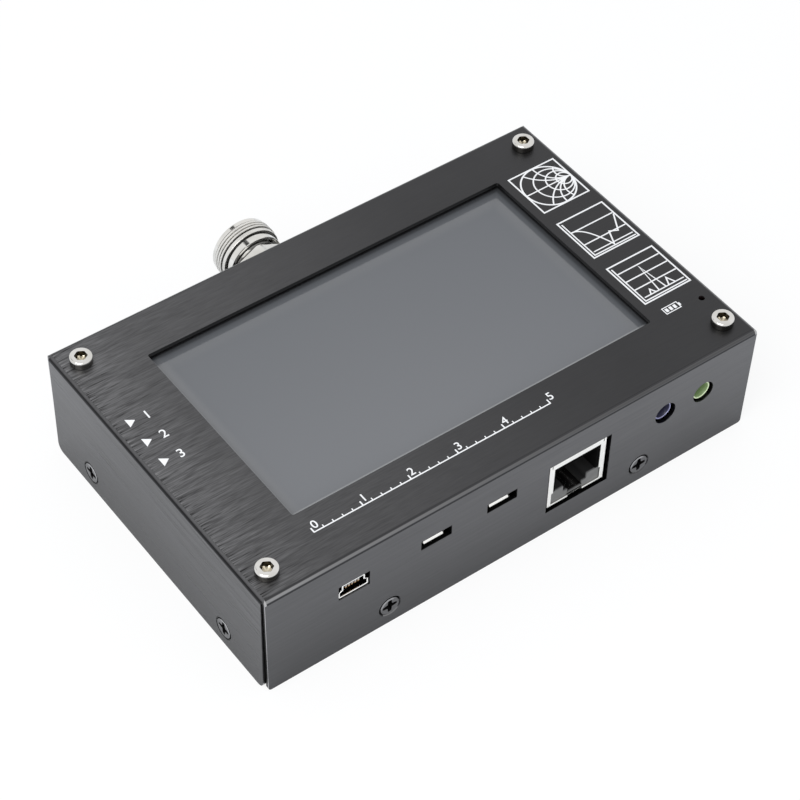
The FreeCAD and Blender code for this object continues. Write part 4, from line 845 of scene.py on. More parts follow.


# Lit rim and shaded bore colours of the two jacks.
violet_rim_lit = (0.36, 0.36, 0.56)
violet_bore_shaded = (0.042, 0.042, 0.078)
green_rim_lit = (0.80, 0.92, 0.60)
green_bore_shaded = (0.25, 0.35, 0.16)
finishes = {
    "black_anodised": anodised_sheet(),
    "black_steel": blackened_steel(),
    "bright_nickel": bare_metal("bright_nickel", (0.95, 0.945, 0.92), (0.90, 0.89, 0.86), 0.22),
    # The network socket's housing: black moulding made near black and without shine, as painted shade.
    "shaded_socket_black": moulded("shaded_socket_black", grey(0.004), grey(0.007), 0.9, 0.0, 0.0),
    "contact_tips": contact_tips(),
    "stainless": bare_metal("stainless_steel", (0.66, 0.65, 0.63), (0.58, 0.57, 0.54), 0.16),
    "nickel": bare_metal("nickel_plate", (0.72, 0.71, 0.685), (0.64, 0.63, 0.60), 0.15),
    "tin_steel": bare_metal("tinned_steel", (0.66, 0.66, 0.65), (0.55, 0.55, 0.54), 0.3, (1, 5, 5)),
    "brass": bare_metal("turned_brass", (0.78, 0.60, 0.30), (0.66, 0.48, 0.22), 0.25),
    "gold_contact": bare_metal("gold_flash", (0.93, 0.70, 0.32), (0.82, 0.58, 0.24), 0.22),
    "shaded_gold": bare_metal("shaded_gold", (0.020, 0.014, 0.006), (0.010, 0.007, 0.003), 0.5),
    "screen_glass": display_film(),
    "light_guide": clear_acrylic("light_guide_acrylic", (0.80, 0.82, 0.82), (0.88, 0.89, 0.89), 0.12),
    "black_plastic": moulded("black_moulding", (0.020, 0.020, 0.021), (0.032, 0.032, 0.033), 0.45),
    "grey_plastic": light_pipe(),
    "blue_plastic": moulded("blue_moulding", (0.105, 0.105, 0.26), (0.135, 0.135, 0.32), 0.32, 0.2),
    "violet_plastic": jack_plastic("violet_moulding", line_in_x, line_in_y, violet_rim_lit, violet_bore_shaded),
    "green_plastic": jack_plastic("green_moulding", line_out_x, line_out_y, green_rim_lit, green_bore_shaded),
    "usb_nickel": usb_nickel(),
    "white_plastic": moulded("white_moulding", (0.78, 0.77, 0.72), (0.84, 0.83, 0.79), 0.4),
    "board": solder_mask(),
    "ribbon_film": moulded("ribbon_film", (0.42, 0.20, 0.05), (0.55, 0.29, 0.08), 0.3, 0.3),
    "foam": foam(),
    "cell_foil": pouch_foil(),
    "lead_sleeve": lead_sleeves(),
    "teflon": moulded("white_insulator", (0.80, 0.79, 0.75), (0.87, 0.86, 0.83), 0.45),
    "lamp_plastic": clear_acrylic("lamp_lens", (0.40, 0.03, 0.02), (0.52, 0.05, 0.04), 0.15),
}
screw_finish = screw_steel()
chip_finish = chip_resin()
ink = white_ink()


# Screws

def threaded(outer_r, start, end, pitch, deep):
    """(radius, height) points of a threaded length from one height to another."""
    count = max(1, round(abs(end - start) / pitch))
    step = (end - start) / count
    points = []
    for turn in range(count):
        points.append((outer_r - deep, start + step * turn))
        points.append((outer_r, start + step * (turn + 0.4)))
        points.append((outer_r, start + step * (turn + 0.6)))
    points.append((outer_r - deep, end))
    return points


def cap_screws():
    """The four socket-head screws with a rounded rim, hexagon socket and thread."""
    bm = bmesh.new()
    count = 48
    rim = arc(cap_head_r - cap_rim_r, cap_head_h - cap_rim_r, cap_rim_r, 0, 90, 6)
    outer = [(0.05, -cap_shank_len)]
    outer += threaded(cap_shank_r, -cap_shank_len + 0.2, 0.0, screw_pitch, screw_thread_deep)
    outer += [(cap_head_r - 0.12, 0.0), (cap_head_r, 0.12)] + rim + [(cap_land_r, cap_head_h)]
    socket_low = cap_head_h - cap_socket_deep
    rings = [circle(radius, height, count) for radius, height in outer]
    rings += [hexagon(cap_socket_af + cap_socket_lead, cap_head_h - 0.02, count, cap_land_r - 0.04),
              hexagon(cap_socket_af, cap_head_h - cap_socket_lead, count),
              hexagon(cap_socket_af, socket_low + 0.25, count),
              circle(cap_socket_af / 2 - 0.06, socket_low + 0.1, count),
              circle(0.12, socket_low - 0.1, count)]
    for x in (-cap_x, cap_x):
        for y in (-cap_y, cap_y):
            start = len(bm.verts)
            loft(bm, rings)
            placed(bm, start, (x, y, plate_z), UP)
    piece("cap_screws_finished", bm, screw_finish, 28.0, nodes=["cap_screws"])


def wall_screws():
    """The eight countersunk screws with their cross recesses."""
    bm = bmesh.new()
    places = []
    for side in (-1, 1):
        for x in (-end_screw_x, end_screw_x):
            places.append(((x, side * half_d, end_screw_z), (0, side, 0)))
        for y in (-side_screw_y, side_screw_y):
            places.append(((side * half_w, y, side_screw_z), (side, 0, 0)))
    mouth = cross_outline(cross_half_len, cross_tip_w, cross_core_w, 0.2)
    throat = cross_outline(cross_half_len - 0.1, cross_tip_w - 0.05, cross_core_w - 0.05, 0.16)
    floor = cross_outline(cross_half_len - 0.8, cross_tip_w - 0.12, cross_core_w - 0.2, 0.1)
    cone_h = flat_head_r - cap_shank_r
    outer = [(0.05, -flat_screw_len)]
    outer += threaded(cap_shank_r, -flat_screw_len + 0.2, -cone_h, screw_pitch, screw_thread_deep)
    outer += [(flat_edge_r - 0.06, -0.5), (flat_edge_r, -0.3), (flat_edge_r, -0.05),
              (flat_edge_r - 0.04, 0.0), (flat_land_r, 0.0)]
    rings = [around(mouth, radius, height) for radius, height in outer]
    rings += [level(mouth, -0.01), level(throat, -0.15), level(floor, -cross_deep * 0.85),
              around(mouth, 0.05, -cross_deep)]
    for position, axis in places:
        start = len(bm.verts)
        loft(bm, rings)
        placed(bm, start, position, axis)
    piece("wall_screws_finished", bm, finishes["black_steel"], 28.0, nodes=["cover_screws"])


# Antenna socket

def antenna_socket():
    """The antenna socket's turned and milled body."""
    bm = bmesh.new()
    count = 96
    soft = 0.12
    tip = hex_af / math.sqrt(3) - hex_corner_r
    rings = [circle(insulator_r, -shank_in, count), circle(shank_r - soft, -shank_in, count)]
    rings += [circle(radius, height, count) for radius, height in
              threaded(shank_r, -shank_in + soft, -0.05, 0.8, 0.3)]
    rings.append(circle(hex_af / 2 - 0.15, 0.0, count))
    for step in range(5):
        share = step / 4
        rings.append(hexagon(hex_af, 0.02 + 0.25 * share, count, hex_corner_r - 0.1 + (tip + 0.1) * share))
    for step in range(7):
        share = step / 6
        cut = tip * (1 - share)
        rings.append(hexagon(hex_af, hex_len - 2 * cut, count, hex_corner_r + cut))
    profile = [(hex_af / 2 - 0.1, hex_len), (neck_r + 0.25, hex_len), (neck_r + 0.07, hex_len + 0.07),
               (neck_r, hex_len + 0.25), (neck_r, ring_start - 0.2), (neck_r + 0.06, ring_start - 0.06),
               (neck_r + 0.2, ring_start), (ring_r - soft, ring_start), (ring_r, ring_start + soft),
               (ring_r, ring_start + soft + 0.06), (ring_r, ring_end - soft - 0.06),
               (ring_r, ring_end - soft), (ring_r - soft, ring_end), (relief_r, ring_end + 0.04),
               (relief_r, relief_end), (collar_r - 0.06, relief_end), (collar_r, relief_end + 0.08),
               (collar_r, relief_end + 0.14), (collar_r, thread_start - 0.46), (collar_r, thread_start - 0.4),
               (thread_root_r, thread_start - 0.3), (thread_root_r, thread_start - 0.1)]
    for turn in range(thread_turns):
        start = thread_start + turn * thread_pitch
        end = start + thread_pitch
        profile += [(thread_crest_r, start), (thread_crest_r, start + 0.05), (thread_crest_r, end - 0.41),
                    (thread_crest_r, end - 0.36), (thread_root_r, end - 0.22), (thread_root_r, end - 0.14)]
    profile += [(mouth_land_r, thread_end), (mouth_land_r, thread_end + 0.06),
                (mouth_land_r, mouth_end - 0.42), (mouth_land_r, mouth_end - 0.36)]
    profile += arc(mouth_land_r - 0.35, mouth_end - 0.35, 0.35, 20, 90, 4)
    profile += [(mouth_bore_r + 0.35, mouth_end), (mouth_bore_r + 0.1, mouth_end - 0.08),
                (mouth_bore_r, mouth_end - 0.35), (mouth_bore_r, mouth_end - mouth_bore_len + 0.1),
                (mouth_bore_r - 0.1, mouth_end - mouth_bore_len), (insulator_r, mouth_end - mouth_bore_len)]
    rings += [circle(radius, height, count) for radius, height in profile]
    loft(bm, rings, "joined")
    placed(bm, 0, (antenna_x, half_d, antenna_z), BACK)
    piece("antenna_socket_finished", bm, socket_nickel(), 24.0, nodes=["antenna_socket_body"])


def antenna_centre():
    """The centre contact: four spring fingers round a hole, and the solder pin behind."""
    bm = bmesh.new()
    steps = 10
    root = contact_tip - contact_slot_len
    reach = math.pi / contact_fingers - contact_slot_half / 1.2
    for finger in range(contact_fingers):
        turn = 2 * math.pi * (finger + 0.5) / contact_fingers
        sweep = [turn - reach + 2 * reach * step / steps for step in range(steps + 1)]
        outline = [(at, contact_r) for at in sweep] + [(at, contact_hole_r) for at in reversed(sweep)]
        rings = []
        for height, shrink in ((root, 0.0), (contact_tip - 0.4, 0.0), (contact_tip - 0.12, 0.1),
                               (contact_tip, 0.28)):
            ring = []
            for at, radius in outline:
                radius = radius - shrink if radius > 1 else radius + shrink * 0.5
                ring.append(Vector((radius * math.cos(at), radius * math.sin(at), height)))
            rings.append(ring)
        loft(bm, rings)
    turned(bm, [(contact_pin_r - 0.05, -contact_pin_end), (contact_pin_r, 0.1 - contact_pin_end),
                (contact_pin_r, -contact_shoulder), (contact_r - 0.1, -contact_shoulder),
                (contact_r, 0.1 - contact_shoulder), (contact_r, root + 0.01), (contact_hole_r, root + 0.01),
                (0.1, root - 0.3)], 48)
    placed(bm, 0, (antenna_x, half_d, antenna_z), BACK)
    piece("antenna_contact_finished", bm, finishes["gold_contact"], 30.0, nodes=["antenna_contact"])


# Power switch

def power_switch():
    """The threaded bushing, the nut with its washers, and the lever."""
    origin = Vector((switch_x, half_d, switch_z))
    start = -sheet - switch_washer_t
    bm = bmesh.new()
    profile = [(bushing_bore_r, start), (bushing_r - 0.2, start)]
    profile += threaded(bushing_r, start + 0.1, bushing_out - 0.3, 0.55, 0.24)
    profile += [(bushing_r - 0.24, bushing_out - 0.15), (bushing_r - 0.34, bushing_out),
                (bushing_bore_r + 0.25, bushing_out), (bushing_bore_r, bushing_out - 0.3)]
    turned(bm, profile, 72, "joined")
    placed(bm, 0, origin, BACK)
    piece("switch_bushing_finished", bm, finishes["nickel"], 24.0, nodes=["switch_bushing"])

    bm = bmesh.new()
    count = 72
    low = switch_washer_t
    high = low + switch_nut_t
    flat = switch_nut_af / 2
    corner = switch_nut_af / math.sqrt(3)
    shares = [step / 4 for step in range(5)]
    chamfers = [(low + 0.02 + 0.3 * share, share) for share in shares]
    chamfers += [(high - 0.02 - 0.3 * share, share) for share in reversed(shares)]
    rings = [circle(bushing_r + 0.03, low, count), circle(flat - 0.15, low, count)]
    for height, share in chamfers:
        rings.append(hexagon(switch_nut_af, height, count, flat + (corner - flat) * (0.35 + 0.65 * share)))
    rings += [circle(flat - 0.15, high, count), circle(bushing_r + 0.25, high, count),
              circle(bushing_r + 0.03, high - 0.2, count)]
    loft(bm, rings, "joined")
    for at in (start, 0.0):
        end = at + switch_washer_t
        profile = [(bushing_r + 0.03, at + 0.06), (bushing_r + 0.1, at), (switch_washer_r - 0.1, at),
                   (switch_washer_r, at + 0.08), (switch_washer_r, end - 0.12), (switch_washer_r - 0.12, end),
                   (bushing_r + 0.1, end), (bushing_r + 0.03, end - 0.06)]
        turned(bm, profile, count, "joined")
    placed(bm, 0, origin, BACK)
    piece("switch_nut_finished", bm, finishes["nickel"], 24.0, nodes=["switch_nut"])

    bm = bmesh.new()
    tip_z = lever_len - lever_tip_r
    profile = [(0.05, -lever_tail_len), (lever_tail_r - 0.1, -lever_tail_len),
               (lever_tail_r, -lever_tail_len + 0.1), (lever_tail_r, -ball_r * 0.93)]
    profile += [(ball_r * math.sin(math.radians(turn)), -ball_r * math.cos(math.radians(turn)))
                for turn in range(26, 148, 8)]
    profile += [(lever_root_r + 0.06, ball_r * 0.9), (lever_root_r + 0.06, ball_r + 0.2)]
    for step in range(1, 9):
        share = step / 8
        radius = lever_root_r + (lever_tip_r - lever_root_r) * share ** 1.2
        profile.append((radius, ball_r + (tip_z - ball_r) * share))
    profile += arc(0.0, tip_z, lever_tip_r, 10, 88, 8)
    turned(bm, profile, 56)
    tilt = Matrix.Rotation(math.radians(lever_tilt - 90), 4, "X")
    bmesh.ops.transform(bm, matrix=tilt, verts=bm.verts)
    bmesh.ops.translate(bm, vec=origin + Vector((0, pivot_out, 0)), verts=bm.verts)
    piece("switch_lever_finished", bm, finishes["nickel"], 30.0, "power_switch_lever",
          ["switch_lever"])


# Front sockets

def rounded_outline(corners, radius, steps=4):
    """A closed outline of (x, z) corners with every corner rounded, as many points whatever the size."""
    points = []
    count = len(corners)
    for index in range(count):
        before = Vector(corners[index - 1])
        corner = Vector(corners[index])
        after = Vector(corners[(index + 1) % count])
        back = (before - corner).normalized()
        ahead = (after - corner).normalized()
        half = back.angle(ahead) / 2
        reach = min(radius / math.tan(half), (before - corner).length / 2.1, (after - corner).length / 2.1)
        size = reach * math.tan(half)
        middle = corner + (back + ahead).normalized() * (size / math.sin(half))
        first = corner + back * reach - middle
        last = corner + ahead * reach - middle
        sweep = first.angle_signed(last)
        for step in range(steps + 1):
            turn = -sweep * step / steps
            points.append(middle + Matrix.Rotation(turn, 2) @ first)
    return points


def mini_corners(inset):
    """The mini socket shell's outline, shrunk by an inset."""
    wide = mini_w / 2 - inset
    narrow = mini_top_w / 2 - inset
    step = -mini_h + mini_wide_h
    low = -mini_h + inset
    return [(-wide, low), (wide, low), (wide, step), (narrow, step + mini_step_h), (narrow, -inset),
            (-narrow, -inset), (-narrow, step + mini_step_h), (-wide, step)]


def mini_shell():
    """The mini USB socket's drawn shell with a rolled rim."""
    bm = bmesh.new()
    rings = []
    walls = ((0.0, mini_len), (0.0, 0.16), (0.03, 0.05), (0.1, 0.0), (0.34, 0.0), (0.41, 0.05), (0.44, 0.14),
             (0.44, 0.4), (usb_wall, 0.55), (usb_wall, mini_len))
    for inset, depth in walls:
        outline = rounded_outline(mini_corners(inset), 0.45 - inset * 0.9)
        rings.append([Vector((x, depth, z)) for x, z in outline])
    loft(bm, rings, "joined")
    bmesh.ops.translate(bm, vec=(mini_x, mini_y, board_under), verts=bm.verts)
    piece("mini_socket_shell", bm, finishes["usb_nickel"], 40.0, nodes=["mini_usb_shell"])


def strip(bm, side, middle, half_w, soft, share, place):
    """A side view of (y, z) points drawn out along X about a place, shrunk a little at both ends."""
    centre = Vector(middle)
    rings = []
    for x, size in ((-half_w, share), (soft - half_w, 1.0), (half_w - soft, 1.0), (half_w, share)):
        ring = [centre + (Vector(corner) - centre) * size for corner in side]
        rings.append([Vector(place) + Vector((x, point.x, point.y)) for point in ring])
    loft(bm, rings)


def mini_tips():
    """The five contacts' bent tips in front of the mini socket's tongue."""
    bm = bmesh.new()
    side = [(0.4, -0.95), (0.46, -1.2), (0.5, -2.0), (0.8, -2.2), (1.24, -2.2), (1.24, -0.95)]
    for step in range(-2, 3):
        place = (mini_x + step * tip_pitch, mini_y, board_under)
        strip(bm, side, (0.85, -1.55), tip_half_w, 0.04, 0.92, place)
    piece("mini_contact_tips", bm, finishes["contact_tips"], 30.0)


def micro_lips():
    """The flared lower lips in front of the two micro sockets' shells."""
    bm = bmesh.new()
    side = [(-0.07, 0.5), (0.0, 0.56), (0.06, 0.5), (-0.2, 0.04), (-0.3, 0.0), (-0.33, 0.08)]
    for x in micro_xs:
        strip(bm, side, (-0.13, 0.28), micro_lip_half_w, 0.1, 0.7, (x, micro_y, micro_lip_low))
    piece("micro_socket_lips", bm, finishes["usb_nickel"], 50.0)


def jack(name, x, y, finish):
    """An audio jack: barrel with a rounded rim, body block and open bore."""
    bm = bmesh.new()
    depth = jack_body_y - y
    profile = [(jack_bore_r, depth + jack_bore_len - 2), (jack_bore_r, 1.2)]
    profile += [(jack_mouth_r, 0.12), (jack_mouth_r + 0.06, 0.02), (jack_mouth_r + 0.12, 0.0),
                (jack_barrel_r - 0.14, 0.0), (jack_barrel_r - 0.04, 0.04), (jack_barrel_r, 0.14),
                (jack_barrel_r, depth + 0.05)]
    turned(bm, profile, 64, "none")
    placed(bm, 0, (x, y, jack_z), BACK)
    bore = [Vector((point.x, 0, point.y)) for point in circle(jack_bore_r, 0, 64)]
    half = jack_body_w / 2
    above = board_under - jack_z
    below = jack_body_h - above
    block = []
    for point in bore:
        share = max(abs(point.x) / half, abs(point.z) / (below if point.z < 0 else above))
        block.append(point / share)
    front = Vector((x, jack_body_y, jack_z))
    end = front + BACK * jack_body_len
    rings = [[front + point * 1.001 for point in bore], [front + point for point in block],
             [end + point for point in block], [end + point * 0.05 for point in block]]
    loft(bm, rings, "none")
    piece(name + "_finished", bm, finish, 30.0, nodes=[name])


def shrunk(points, by):
    """A closed outline moved inwards, its points in order about the middle."""
    moved = []
    count = len(points)
    for index in range(count):
        before = (points[index] - points[index - 1]).normalized()
        after = (points[(index + 1) % count] - points[index]).normalized()
        inward = Vector((-before.y - after.y, before.x + after.x))
        moved.append(points[index] + inward.normalized() * by if inward.length > 0.01 else points[index])
    return moved


def upright(outline, depth):
    """An outline of (x, z) points stood up in the front wall, at the network socket's place."""
    return [Vector((network_x + point.x, network_y + depth, network_low + point.y)) for point in outline]


def network_shield():
    """The network socket's folded shield: front with its mouth, side walls, spring tabs and fold slits."""
    half = network_w / 2
    high = network_h
    right = [(mouth_half, mouth_high), (mouth_half, mouth_low), (lower_half, mouth_low),
             (lower_half, sill), (latch_half, sill), (latch_half, 0), (half, 0), (half, high)]
    outline = rounded_outline(right + [(-x, z) for x, z in reversed(right)], 0.12, 3)
    bm = bmesh.new()
    loft(bm, [upright(outline, shield_wall), upright(outline, 0.05), upright(shrunk(outline, 0.05), 0.0)])
    outer = rounded_outline([(-half, 0), (half, 0), (half, high), (-half, high)], 0.3)
    wall = shield_wall
    inner = rounded_outline([(wall - half, wall), (half - wall, wall), (half - wall, high - wall),
                             (wall - half, high - wall)], 0.1)
    loft(bm, [upright(outer, wall), upright(outer, network_len), upright(inner, network_len - wall),
              upright(inner, wall)], "joined")
    for side in (-1, 1):
        bend = [(0.0, wall), (tab_out, wall + tab_rise), (tab_out, tab_end - tab_rise), (0.0, tab_end)]
        low = high / 2 - tab_h / 2
        rings = []
        for out, depth in bend:
            ring = [(half + out - 0.08, low), (half + out, low + 0.1), (half + out, low + tab_h - 0.1),
                    (half + out - 0.08, low + tab_h)]
            rings.append(upright([Vector((side * x, z)) for x, z in ring], depth))
        loft(bm, rings)
    piece("network_shield_finished", bm, finishes["bright_nickel"], 35.0, nodes=["network_shield"])
    bm = bmesh.new()
    # Black solids in the shield's face stand for the fold slits, as painted shade for their gaps.
    for side in (-1, 1):
        x = side * (half - slit_in)
        slit = rounded_outline([(x - slit_half_w, high - slit_len), (x + slit_half_w, high - slit_len),
                                (x + slit_half_w, high), (x - slit_half_w, high)], 0.05, 2)
        loft(bm, [upright(slit, 0.2), upright(slit, -0.012)])
    piece("network_fold_slit_shade", bm, finishes["black_plastic"])


def network_pipes():
    """The two light pipes with their front flanges, and the bent lip under the plug's latch."""
    bm = bmesh.new()
    stretches = ((sill + 0.04, pipe_flange_front, pipe_front), (pipe_low, pipe_front, pipe_end))
    inner = latch_half + 0.02
    for side in (-1, 1):
        for low, start, end in stretches:
            corners = [(key_half, mouth_low), (pipe_half, mouth_low), (pipe_half, low), (inner, low),
                       (inner, pipe_step), (key_half, pipe_step)]
            outline = rounded_outline([(side * x, z) for x, z in corners], 0.12, 3)
            loft(bm, [upright(outline, end), upright(outline, start)])
    piece("network_pipes_finished", bm, finishes["grey_plastic"], 35.0, nodes=["network_light_pipes"])
    bm = bmesh.new()
    outline = rounded_outline([(lip_front, lip_high), (lip_front, lip_high - lip_t),
                               (lip_back - lip_t, lip_high - lip_t), (lip_back - lip_t, lip_low),
                               (lip_back, lip_low), (lip_back, lip_high)], 0.06, 3)
    rings = []
    for x in (-latch_half, latch_half):
        corner = Vector((network_x + x, network_y, network_low))
        rings.append([corner + Vector((0, point.x, point.y)) for point in outline])
    loft(bm, rings)
    piece("network_latch_lip", bm, finishes["grey_plastic"])


# Print

def stroke(bm, points, width, thickness, closed=False):
    """A printed line along (x, y) points, mitred at its corners, standing on the plate."""
    path = [Vector(point) for point in points]
    count = len(path)
    left = []
    right = []
    for index, point in enumerate(path):
        before = path[index - 1] if closed or index else None
        after = path[(index + 1) % count] if closed or index < count - 1 else None
        way_in = (point - before).normalized() if before is not None else (after - point).normalized()
        way_out = (after - point).normalized() if after is not None else way_in
        side_in = Vector((-way_in.y, way_in.x))
        side_out = Vector((-way_out.y, way_out.x))
        side = (side_in + side_out).normalized()
        reach = width / 2 / max(side.dot(side_in), 0.35)
        left.append(point + side * reach)
        right.append(point - side * reach)
    rows = []
    for edge, height in ((left, 0.0), (left, thickness), (right, thickness), (right, 0.0)):
        rows.append([bm.verts.new((point.x, point.y, plate_z + height)) for point in edge])
    last = count if closed else count - 1
    for index in range(last):
        after = (index + 1) % count
        for first, second in zip(rows, rows[1:]):
            bm.faces.new((first[index], first[after], second[after], second[index]))
    if not closed:
        bm.faces.new([row[0] for row in rows])
        bm.faces.new([row[-1] for row in reversed(rows)])


def patch(bm, points, thickness):
    """A printed solid area inside an outline of (x, y) points."""
    low = [bm.verts.new((x, y, plate_z)) for x, y in points]
    high = [bm.verts.new((x, y, plate_z + thickness)) for x, y in points]
    bm.faces.new(high)
    for index in range(len(points)):
        after = (index + 1) % len(points)
        bm.faces.new((low[index], low[after], high[after], high[index]))


class Panel:
    """A framed diagram on the plate; its points are given as shares of the frame."""

    def __init__(self, bottom):
        self.bm = bmesh.new()
        self.bottom = bottom
        self.thickness = print_t
        inset = frame_line / 2
        x1 = diagram_x + diagram_w - inset
        y1 = bottom + diagram_h - inset
        x0 = diagram_x + inset
        y0 = bottom + inset
        stroke(self.bm, [(x0, y0), (x1, y0), (x1, y1), (x0, y1)], frame_line, self.thickness, True)

    def draw(self, points, width=diagram_line, closed=False):
        """One line of the diagram, a hair higher than the one before it."""
        self.thickness += print_step
        spots = [(diagram_x + u * diagram_w, self.bottom + v * diagram_h) for u, v in points]
        stroke(self.bm, spots, width, self.thickness, closed)

    def axes(self):
        """The L of two axes and the base line."""
        self.draw([(0.067, 0.93), (0.067, 0.06), (0.955, 0.06)])
        self.draw([(0.105, 0.13), (0.945, 0.13)], 0.32)

    def done(self, name):
        """The diagram's piece."""
        piece(name, self.bm, ink)


def impedance_chart():
    """The circle chart of impedances: circles of resistance and arcs of reactance."""
    panel = Panel(chart_y)

    def spot(impedance):
        gamma = (impedance - 1) / (impedance + 1)
        return 0.5 + 0.475 * gamma.real, 0.5 + 0.475 * gamma.imag

    rim = [spot(complex(0, math.tan(math.pi * (step + 0.5) / 96 - math.pi / 2))) for step in range(96)]
    panel.draw(rim, frame_line, True)
    panel.draw([spot(0j), spot(200 + 0j)])
    for resistance in (0.34, 1.0, 2.4):
        turns = [math.tan(math.pi * (step + 0.5) / 72 - math.pi / 2) for step in range(72)]
        ring = [spot(complex(resistance, turn * (1 + resistance))) for turn in turns]
        panel.draw(ring, diagram_line, True)
    for reactance in (-0.6, -1.05, -1.65, 0.6, 1.05, 2.6):
        line = []
        for step in range(33):
            share = step / 32
            line.append(spot(complex(share ** 2 * 8 / (1.08 - share), reactance)))
        panel.draw(line)
    panel.done("impedance_chart_print")


def match_curve():
    """The curve with one sharp dip on a grid."""
    panel = Panel(curve_y)
    panel.axes()
    panel.draw([(0.07, 0.685), (0.965, 0.685)])
    panel.draw([(0.07, 0.345), (0.965, 0.345)])
    curve = []
    for step in range(25):
        share = step / 24
        curve.append((0.07 + 0.44 * share, 0.69 - 0.6 * share ** 2.3))
    curve += [(0.63, 0.37), (0.77, 0.30), (0.965, 0.655)]
    panel.draw(curve, 0.36)
    panel.done("match_curve_print")


def spectrum():
    """Three peaks on a grid."""
    panel = Panel(spectrum_y)
    panel.axes()
    for height in (0.785, 0.572, 0.352):
        panel.draw([(0.07, height), (0.965, height)])
    for middle, half, height in ((0.49, 0.075, 0.735), (0.295, 0.055, 0.235), (0.695, 0.07, 0.29)):
        panel.draw([(middle - half, 0.13), (middle, height), (middle + half, 0.13)])
    panel.done("spectrum_print")


def number(text, x, y, height):
    """A printed number, its lower left corner at a place on the plate."""
    words = bpy.data.curves.new("number", "FONT")
    words.body = text
    words.size = height / figure_share
    words.extrude = print_t / 2
    words.offset = figure_spread
    words.resolution_u = 6
    item = bpy.data.objects.new("number", words)
    bpy.context.scene.collection.objects.link(item)
    bpy.context.view_layer.update()
    mesh = bpy.data.meshes.new_from_object(item)
    bpy.data.objects.remove(item)
    mesh.transform(Matrix.Translation((x, y, plate_z + print_t / 2)))
    return mesh


def joined(bm, mesh):
    """Adds a mesh to what is being drawn."""
    bm.from_mesh(mesh)
    bpy.data.meshes.remove(mesh)


def channel_marks():
    """Three arrows with their numbers at the left."""
    bm = bmesh.new()
    for index, y in enumerate(arrow_ys):
        patch(bm, [(arrow_x, y - arrow_h / 2), (arrow_x + arrow_len, y), (arrow_x, y + arrow_h / 2)], print_t)
        joined(bm, number(str(index + 1), number_x, y - number_h / 2, number_h))
    piece("channel_marks_print", bm, ink)


def front_scale():
    """The numbered scale along the front of the window."""
    bm = bmesh.new()
    stroke(bm, [(scale_left, scale_y), (scale_right, scale_y)], scale_line, print_t)
    count = scale_steps * scale_parts
    for tick in range(count + 1):
        x = scale_left + (scale_right - scale_left) * tick / count
        whole = tick % scale_parts == 0
        high = tick_long if whole else tick_short
        width = tick_long_w if whole else tick_short_w
        stroke(bm, [(x, scale_y - 0.1), (x, scale_y + high)], width, print_t + print_step)
        if whole:
            figure = str(tick // scale_parts)
            joined(bm, number(figure, x + scale_number_right, scale_y + scale_number_up, scale_number_h))
    piece("front_scale_print", bm, ink)


def cell_mark():
    """The small battery sign beside the lamp."""
    bm = bmesh.new()
    x0 = cell_mark_x - cell_mark_w / 2
    x1 = cell_mark_x + cell_mark_w / 2
    y0 = cell_mark_y - cell_mark_h / 2
    y1 = cell_mark_y + cell_mark_h / 2
    stroke(bm, [(x0, y0), (x1, y0), (x1, y1), (x0, y1)], cell_line, print_t, True)
    blocks = [(x1 + cell_line / 2, x1 + 0.5, 0.5)]
    for step in range(cell_bars):
        x = x0 + 0.4 + step * cell_bar_pitch
        blocks.append((x, x + cell_bar_w, 0.4))
    for left, right, inset in blocks:
        patch(bm, [(left, y0 + inset), (right, y0 + inset), (right, y1 - inset), (left, y1 - inset)], print_t)
    piece("cell_mark_print", bm, ink)


# Studio

def floor_finish():
    """Plain white floor that shows the object's soft shadow."""
    fixed = {"Base Color": grey(0.95), "Roughness": 0.9, "Specular IOR Level": 0.0}
    finish = Finish("studio_floor", fixed)
    glow = finish.add("ShaderNodeEmission", {}, {"Color": grey(1.0), "Strength": 1.0})
    seen = finish.add("ShaderNodeLightPath", {}, {}, "Is Camera Ray")
    surface = Value(finish, finish.shader.outputs[0])
    mixed = finish.add("ShaderNodeMixShader", {}, {0: seen * 0.85, 1: surface, 2: glow})
    finish.tree.links.new(mixed.socket, finish.output.inputs["Surface"])
    return finish.material


def flag_finish():
    """Matt black card that darkens one reflection."""
    fixed = {"Base Color": grey(0.02), "Roughness": 0.9, "Specular IOR Level": 0.1}
    return Finish("flag_black", fixed).material


def card(name, centre, towards, width, height, finish, seen=True):
    """A flat studio card, which isn't part of the object."""
    mesh = bpy.data.meshes.new(name)
    corners = [(-width / 2, -height / 2, 0), (width / 2, -height / 2, 0), (width / 2, height / 2, 0),
               (-width / 2, height / 2, 0)]
    mesh.from_pydata(corners, [], [(0, 1, 2, 3)])
    mesh.materials.append(finish)
    item = bpy.data.objects.new(name, mesh)
    bpy.context.scene.collection.objects.link(item)
    item.location = centre
    item.rotation_euler = (Vector(towards) - Vector(centre)).to_track_quat("Z", "Y").to_euler()
    if not seen:
        item.visible_camera = False
        item.visible_diffuse = False
        item.visible_shadow = False


def soft_box(name, centre, towards, width, height, watts):
    """A rectangular studio lamp."""
    lamp = bpy.data.lights.new(name, "AREA")
    lamp.shape = "RECTANGLE"
    lamp.size = width
    lamp.size_y = height
    lamp.energy = watts
    item = bpy.data.objects.new(name, lamp)
    bpy.context.scene.collection.objects.link(item)
    item.location = centre
    item.rotation_euler = (Vector(towards) - Vector(centre)).to_track_quat("-Z", "Y").to_euler()


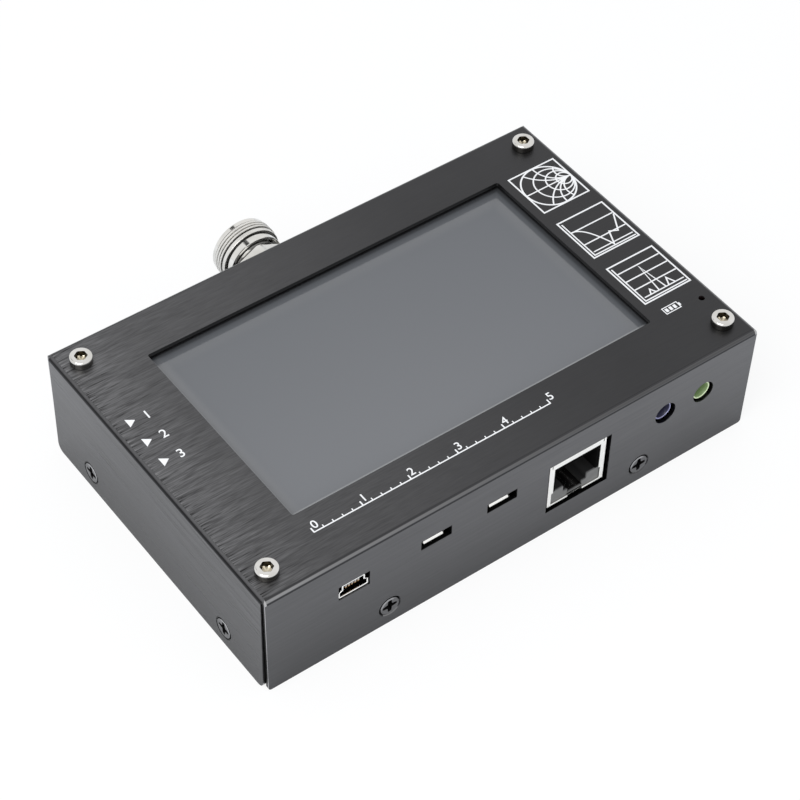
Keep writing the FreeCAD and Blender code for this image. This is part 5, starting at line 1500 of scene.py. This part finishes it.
def surroundings():
    """A pale room: dimmer as a light than to the camera and to shiny or clear pieces, which see it white."""
    world = bpy.data.worlds.new("studio_world")
    world.use_nodes = True
    bpy.context.scene.world = world
    tree = world.node_tree
    tree.nodes.clear()
    path = tree.nodes.new("ShaderNodeLightPath")
    seen = path.outputs["Is Camera Ray"]
    for ray in ("Is Glossy Ray", "Is Transmission Ray"):
        either = tree.nodes.new("ShaderNodeMath")
        either.operation = "MAXIMUM"
        tree.links.new(seen, either.inputs[0])
        tree.links.new(path.outputs[ray], either.inputs[1])
        seen = either.outputs[0]
    mix = tree.nodes.new("ShaderNodeMixShader")
    tree.links.new(seen, mix.inputs[0])
    shades = (((0.93, 0.96, 1.0, 1.0), 0.78), ((1.0, 1.0, 1.0, 1.0), 1.0))
    for index, (colour, strength) in enumerate(shades):
        shade = tree.nodes.new("ShaderNodeBackground")
        shade.inputs["Color"].default_value = colour
        shade.inputs["Strength"].default_value = strength
        tree.links.new(shade.outputs[0], mix.inputs[index + 1])
    output = tree.nodes.new("ShaderNodeOutputWorld")
    tree.links.new(mix.outputs[0], output.inputs["Surface"])


def studio():
    """Floor, surroundings, the lamp with its flag, and the camera."""
    card("studio_floor", (0, 0, -0.00005), (0, 0, 1), 8.0, 8.0, floor_finish())
    surroundings()
    middle = (0, 0, 0.02)
    soft_box("key_box", (-0.55, -0.25, 0.75), middle, 0.7, 0.7, 5.5)
    card("notch_flag", (-0.112, 0.784, 0.951), middle, 0.27, 0.17, flag_finish(), False)

    camera = bpy.data.cameras.new("camera")
    camera.lens = 111.337
    camera.sensor_width = 36.0
    camera.sensor_fit = "HORIZONTAL"
    camera.clip_start = 0.01
    item = bpy.data.objects.new("camera", camera)
    bpy.context.scene.collection.objects.link(item)
    item.location = (-0.2336486, -0.3013976, 0.4279729)
    turn = [math.radians(angle) for angle in (42.43162, -1.23338, -36.31875)]
    item.rotation_euler = Euler(turn, "XYZ")
    bpy.context.scene.camera = item
    bpy.context.scene.view_settings.view_transform = "Standard"


def finish_nodes():
    """Gives every carried-over node the finish of its slot."""
    slots = {part["node"]: part["material_slot"] for part in frame["record"]["subparts"]}
    chips = ("main_board_parts", "rf_chips", "charge_board_parts")
    own = {"network_shield": "bright_nickel", "micro_usb_shells": "usb_nickel",
           "network_housing": "shaded_socket_black", "socket_contacts": "shaded_gold"}
    for name, item in frame["nodes"].items():
        finish = chip_finish if name in chips else finishes[own.get(name, slots[name])]
        for index in range(len(item.material_slots)):
            item.material_slots[index].material = finish
        if not item.material_slots:
            item.data.materials.append(finish)


finish_nodes()
cap_screws()
wall_screws()
antenna_socket()
antenna_centre()
power_switch()
mini_shell()
mini_tips()
micro_lips()
network_shield()
network_pipes()
jack("line_in_jack", line_in_x, line_in_y, finishes["violet_plastic"])
jack("line_out_jack", line_out_x, line_out_y, finishes["green_plastic"])
impedance_chart()
match_curve()
spectrum()
channel_marks()
front_scale()
cell_mark()
studio()
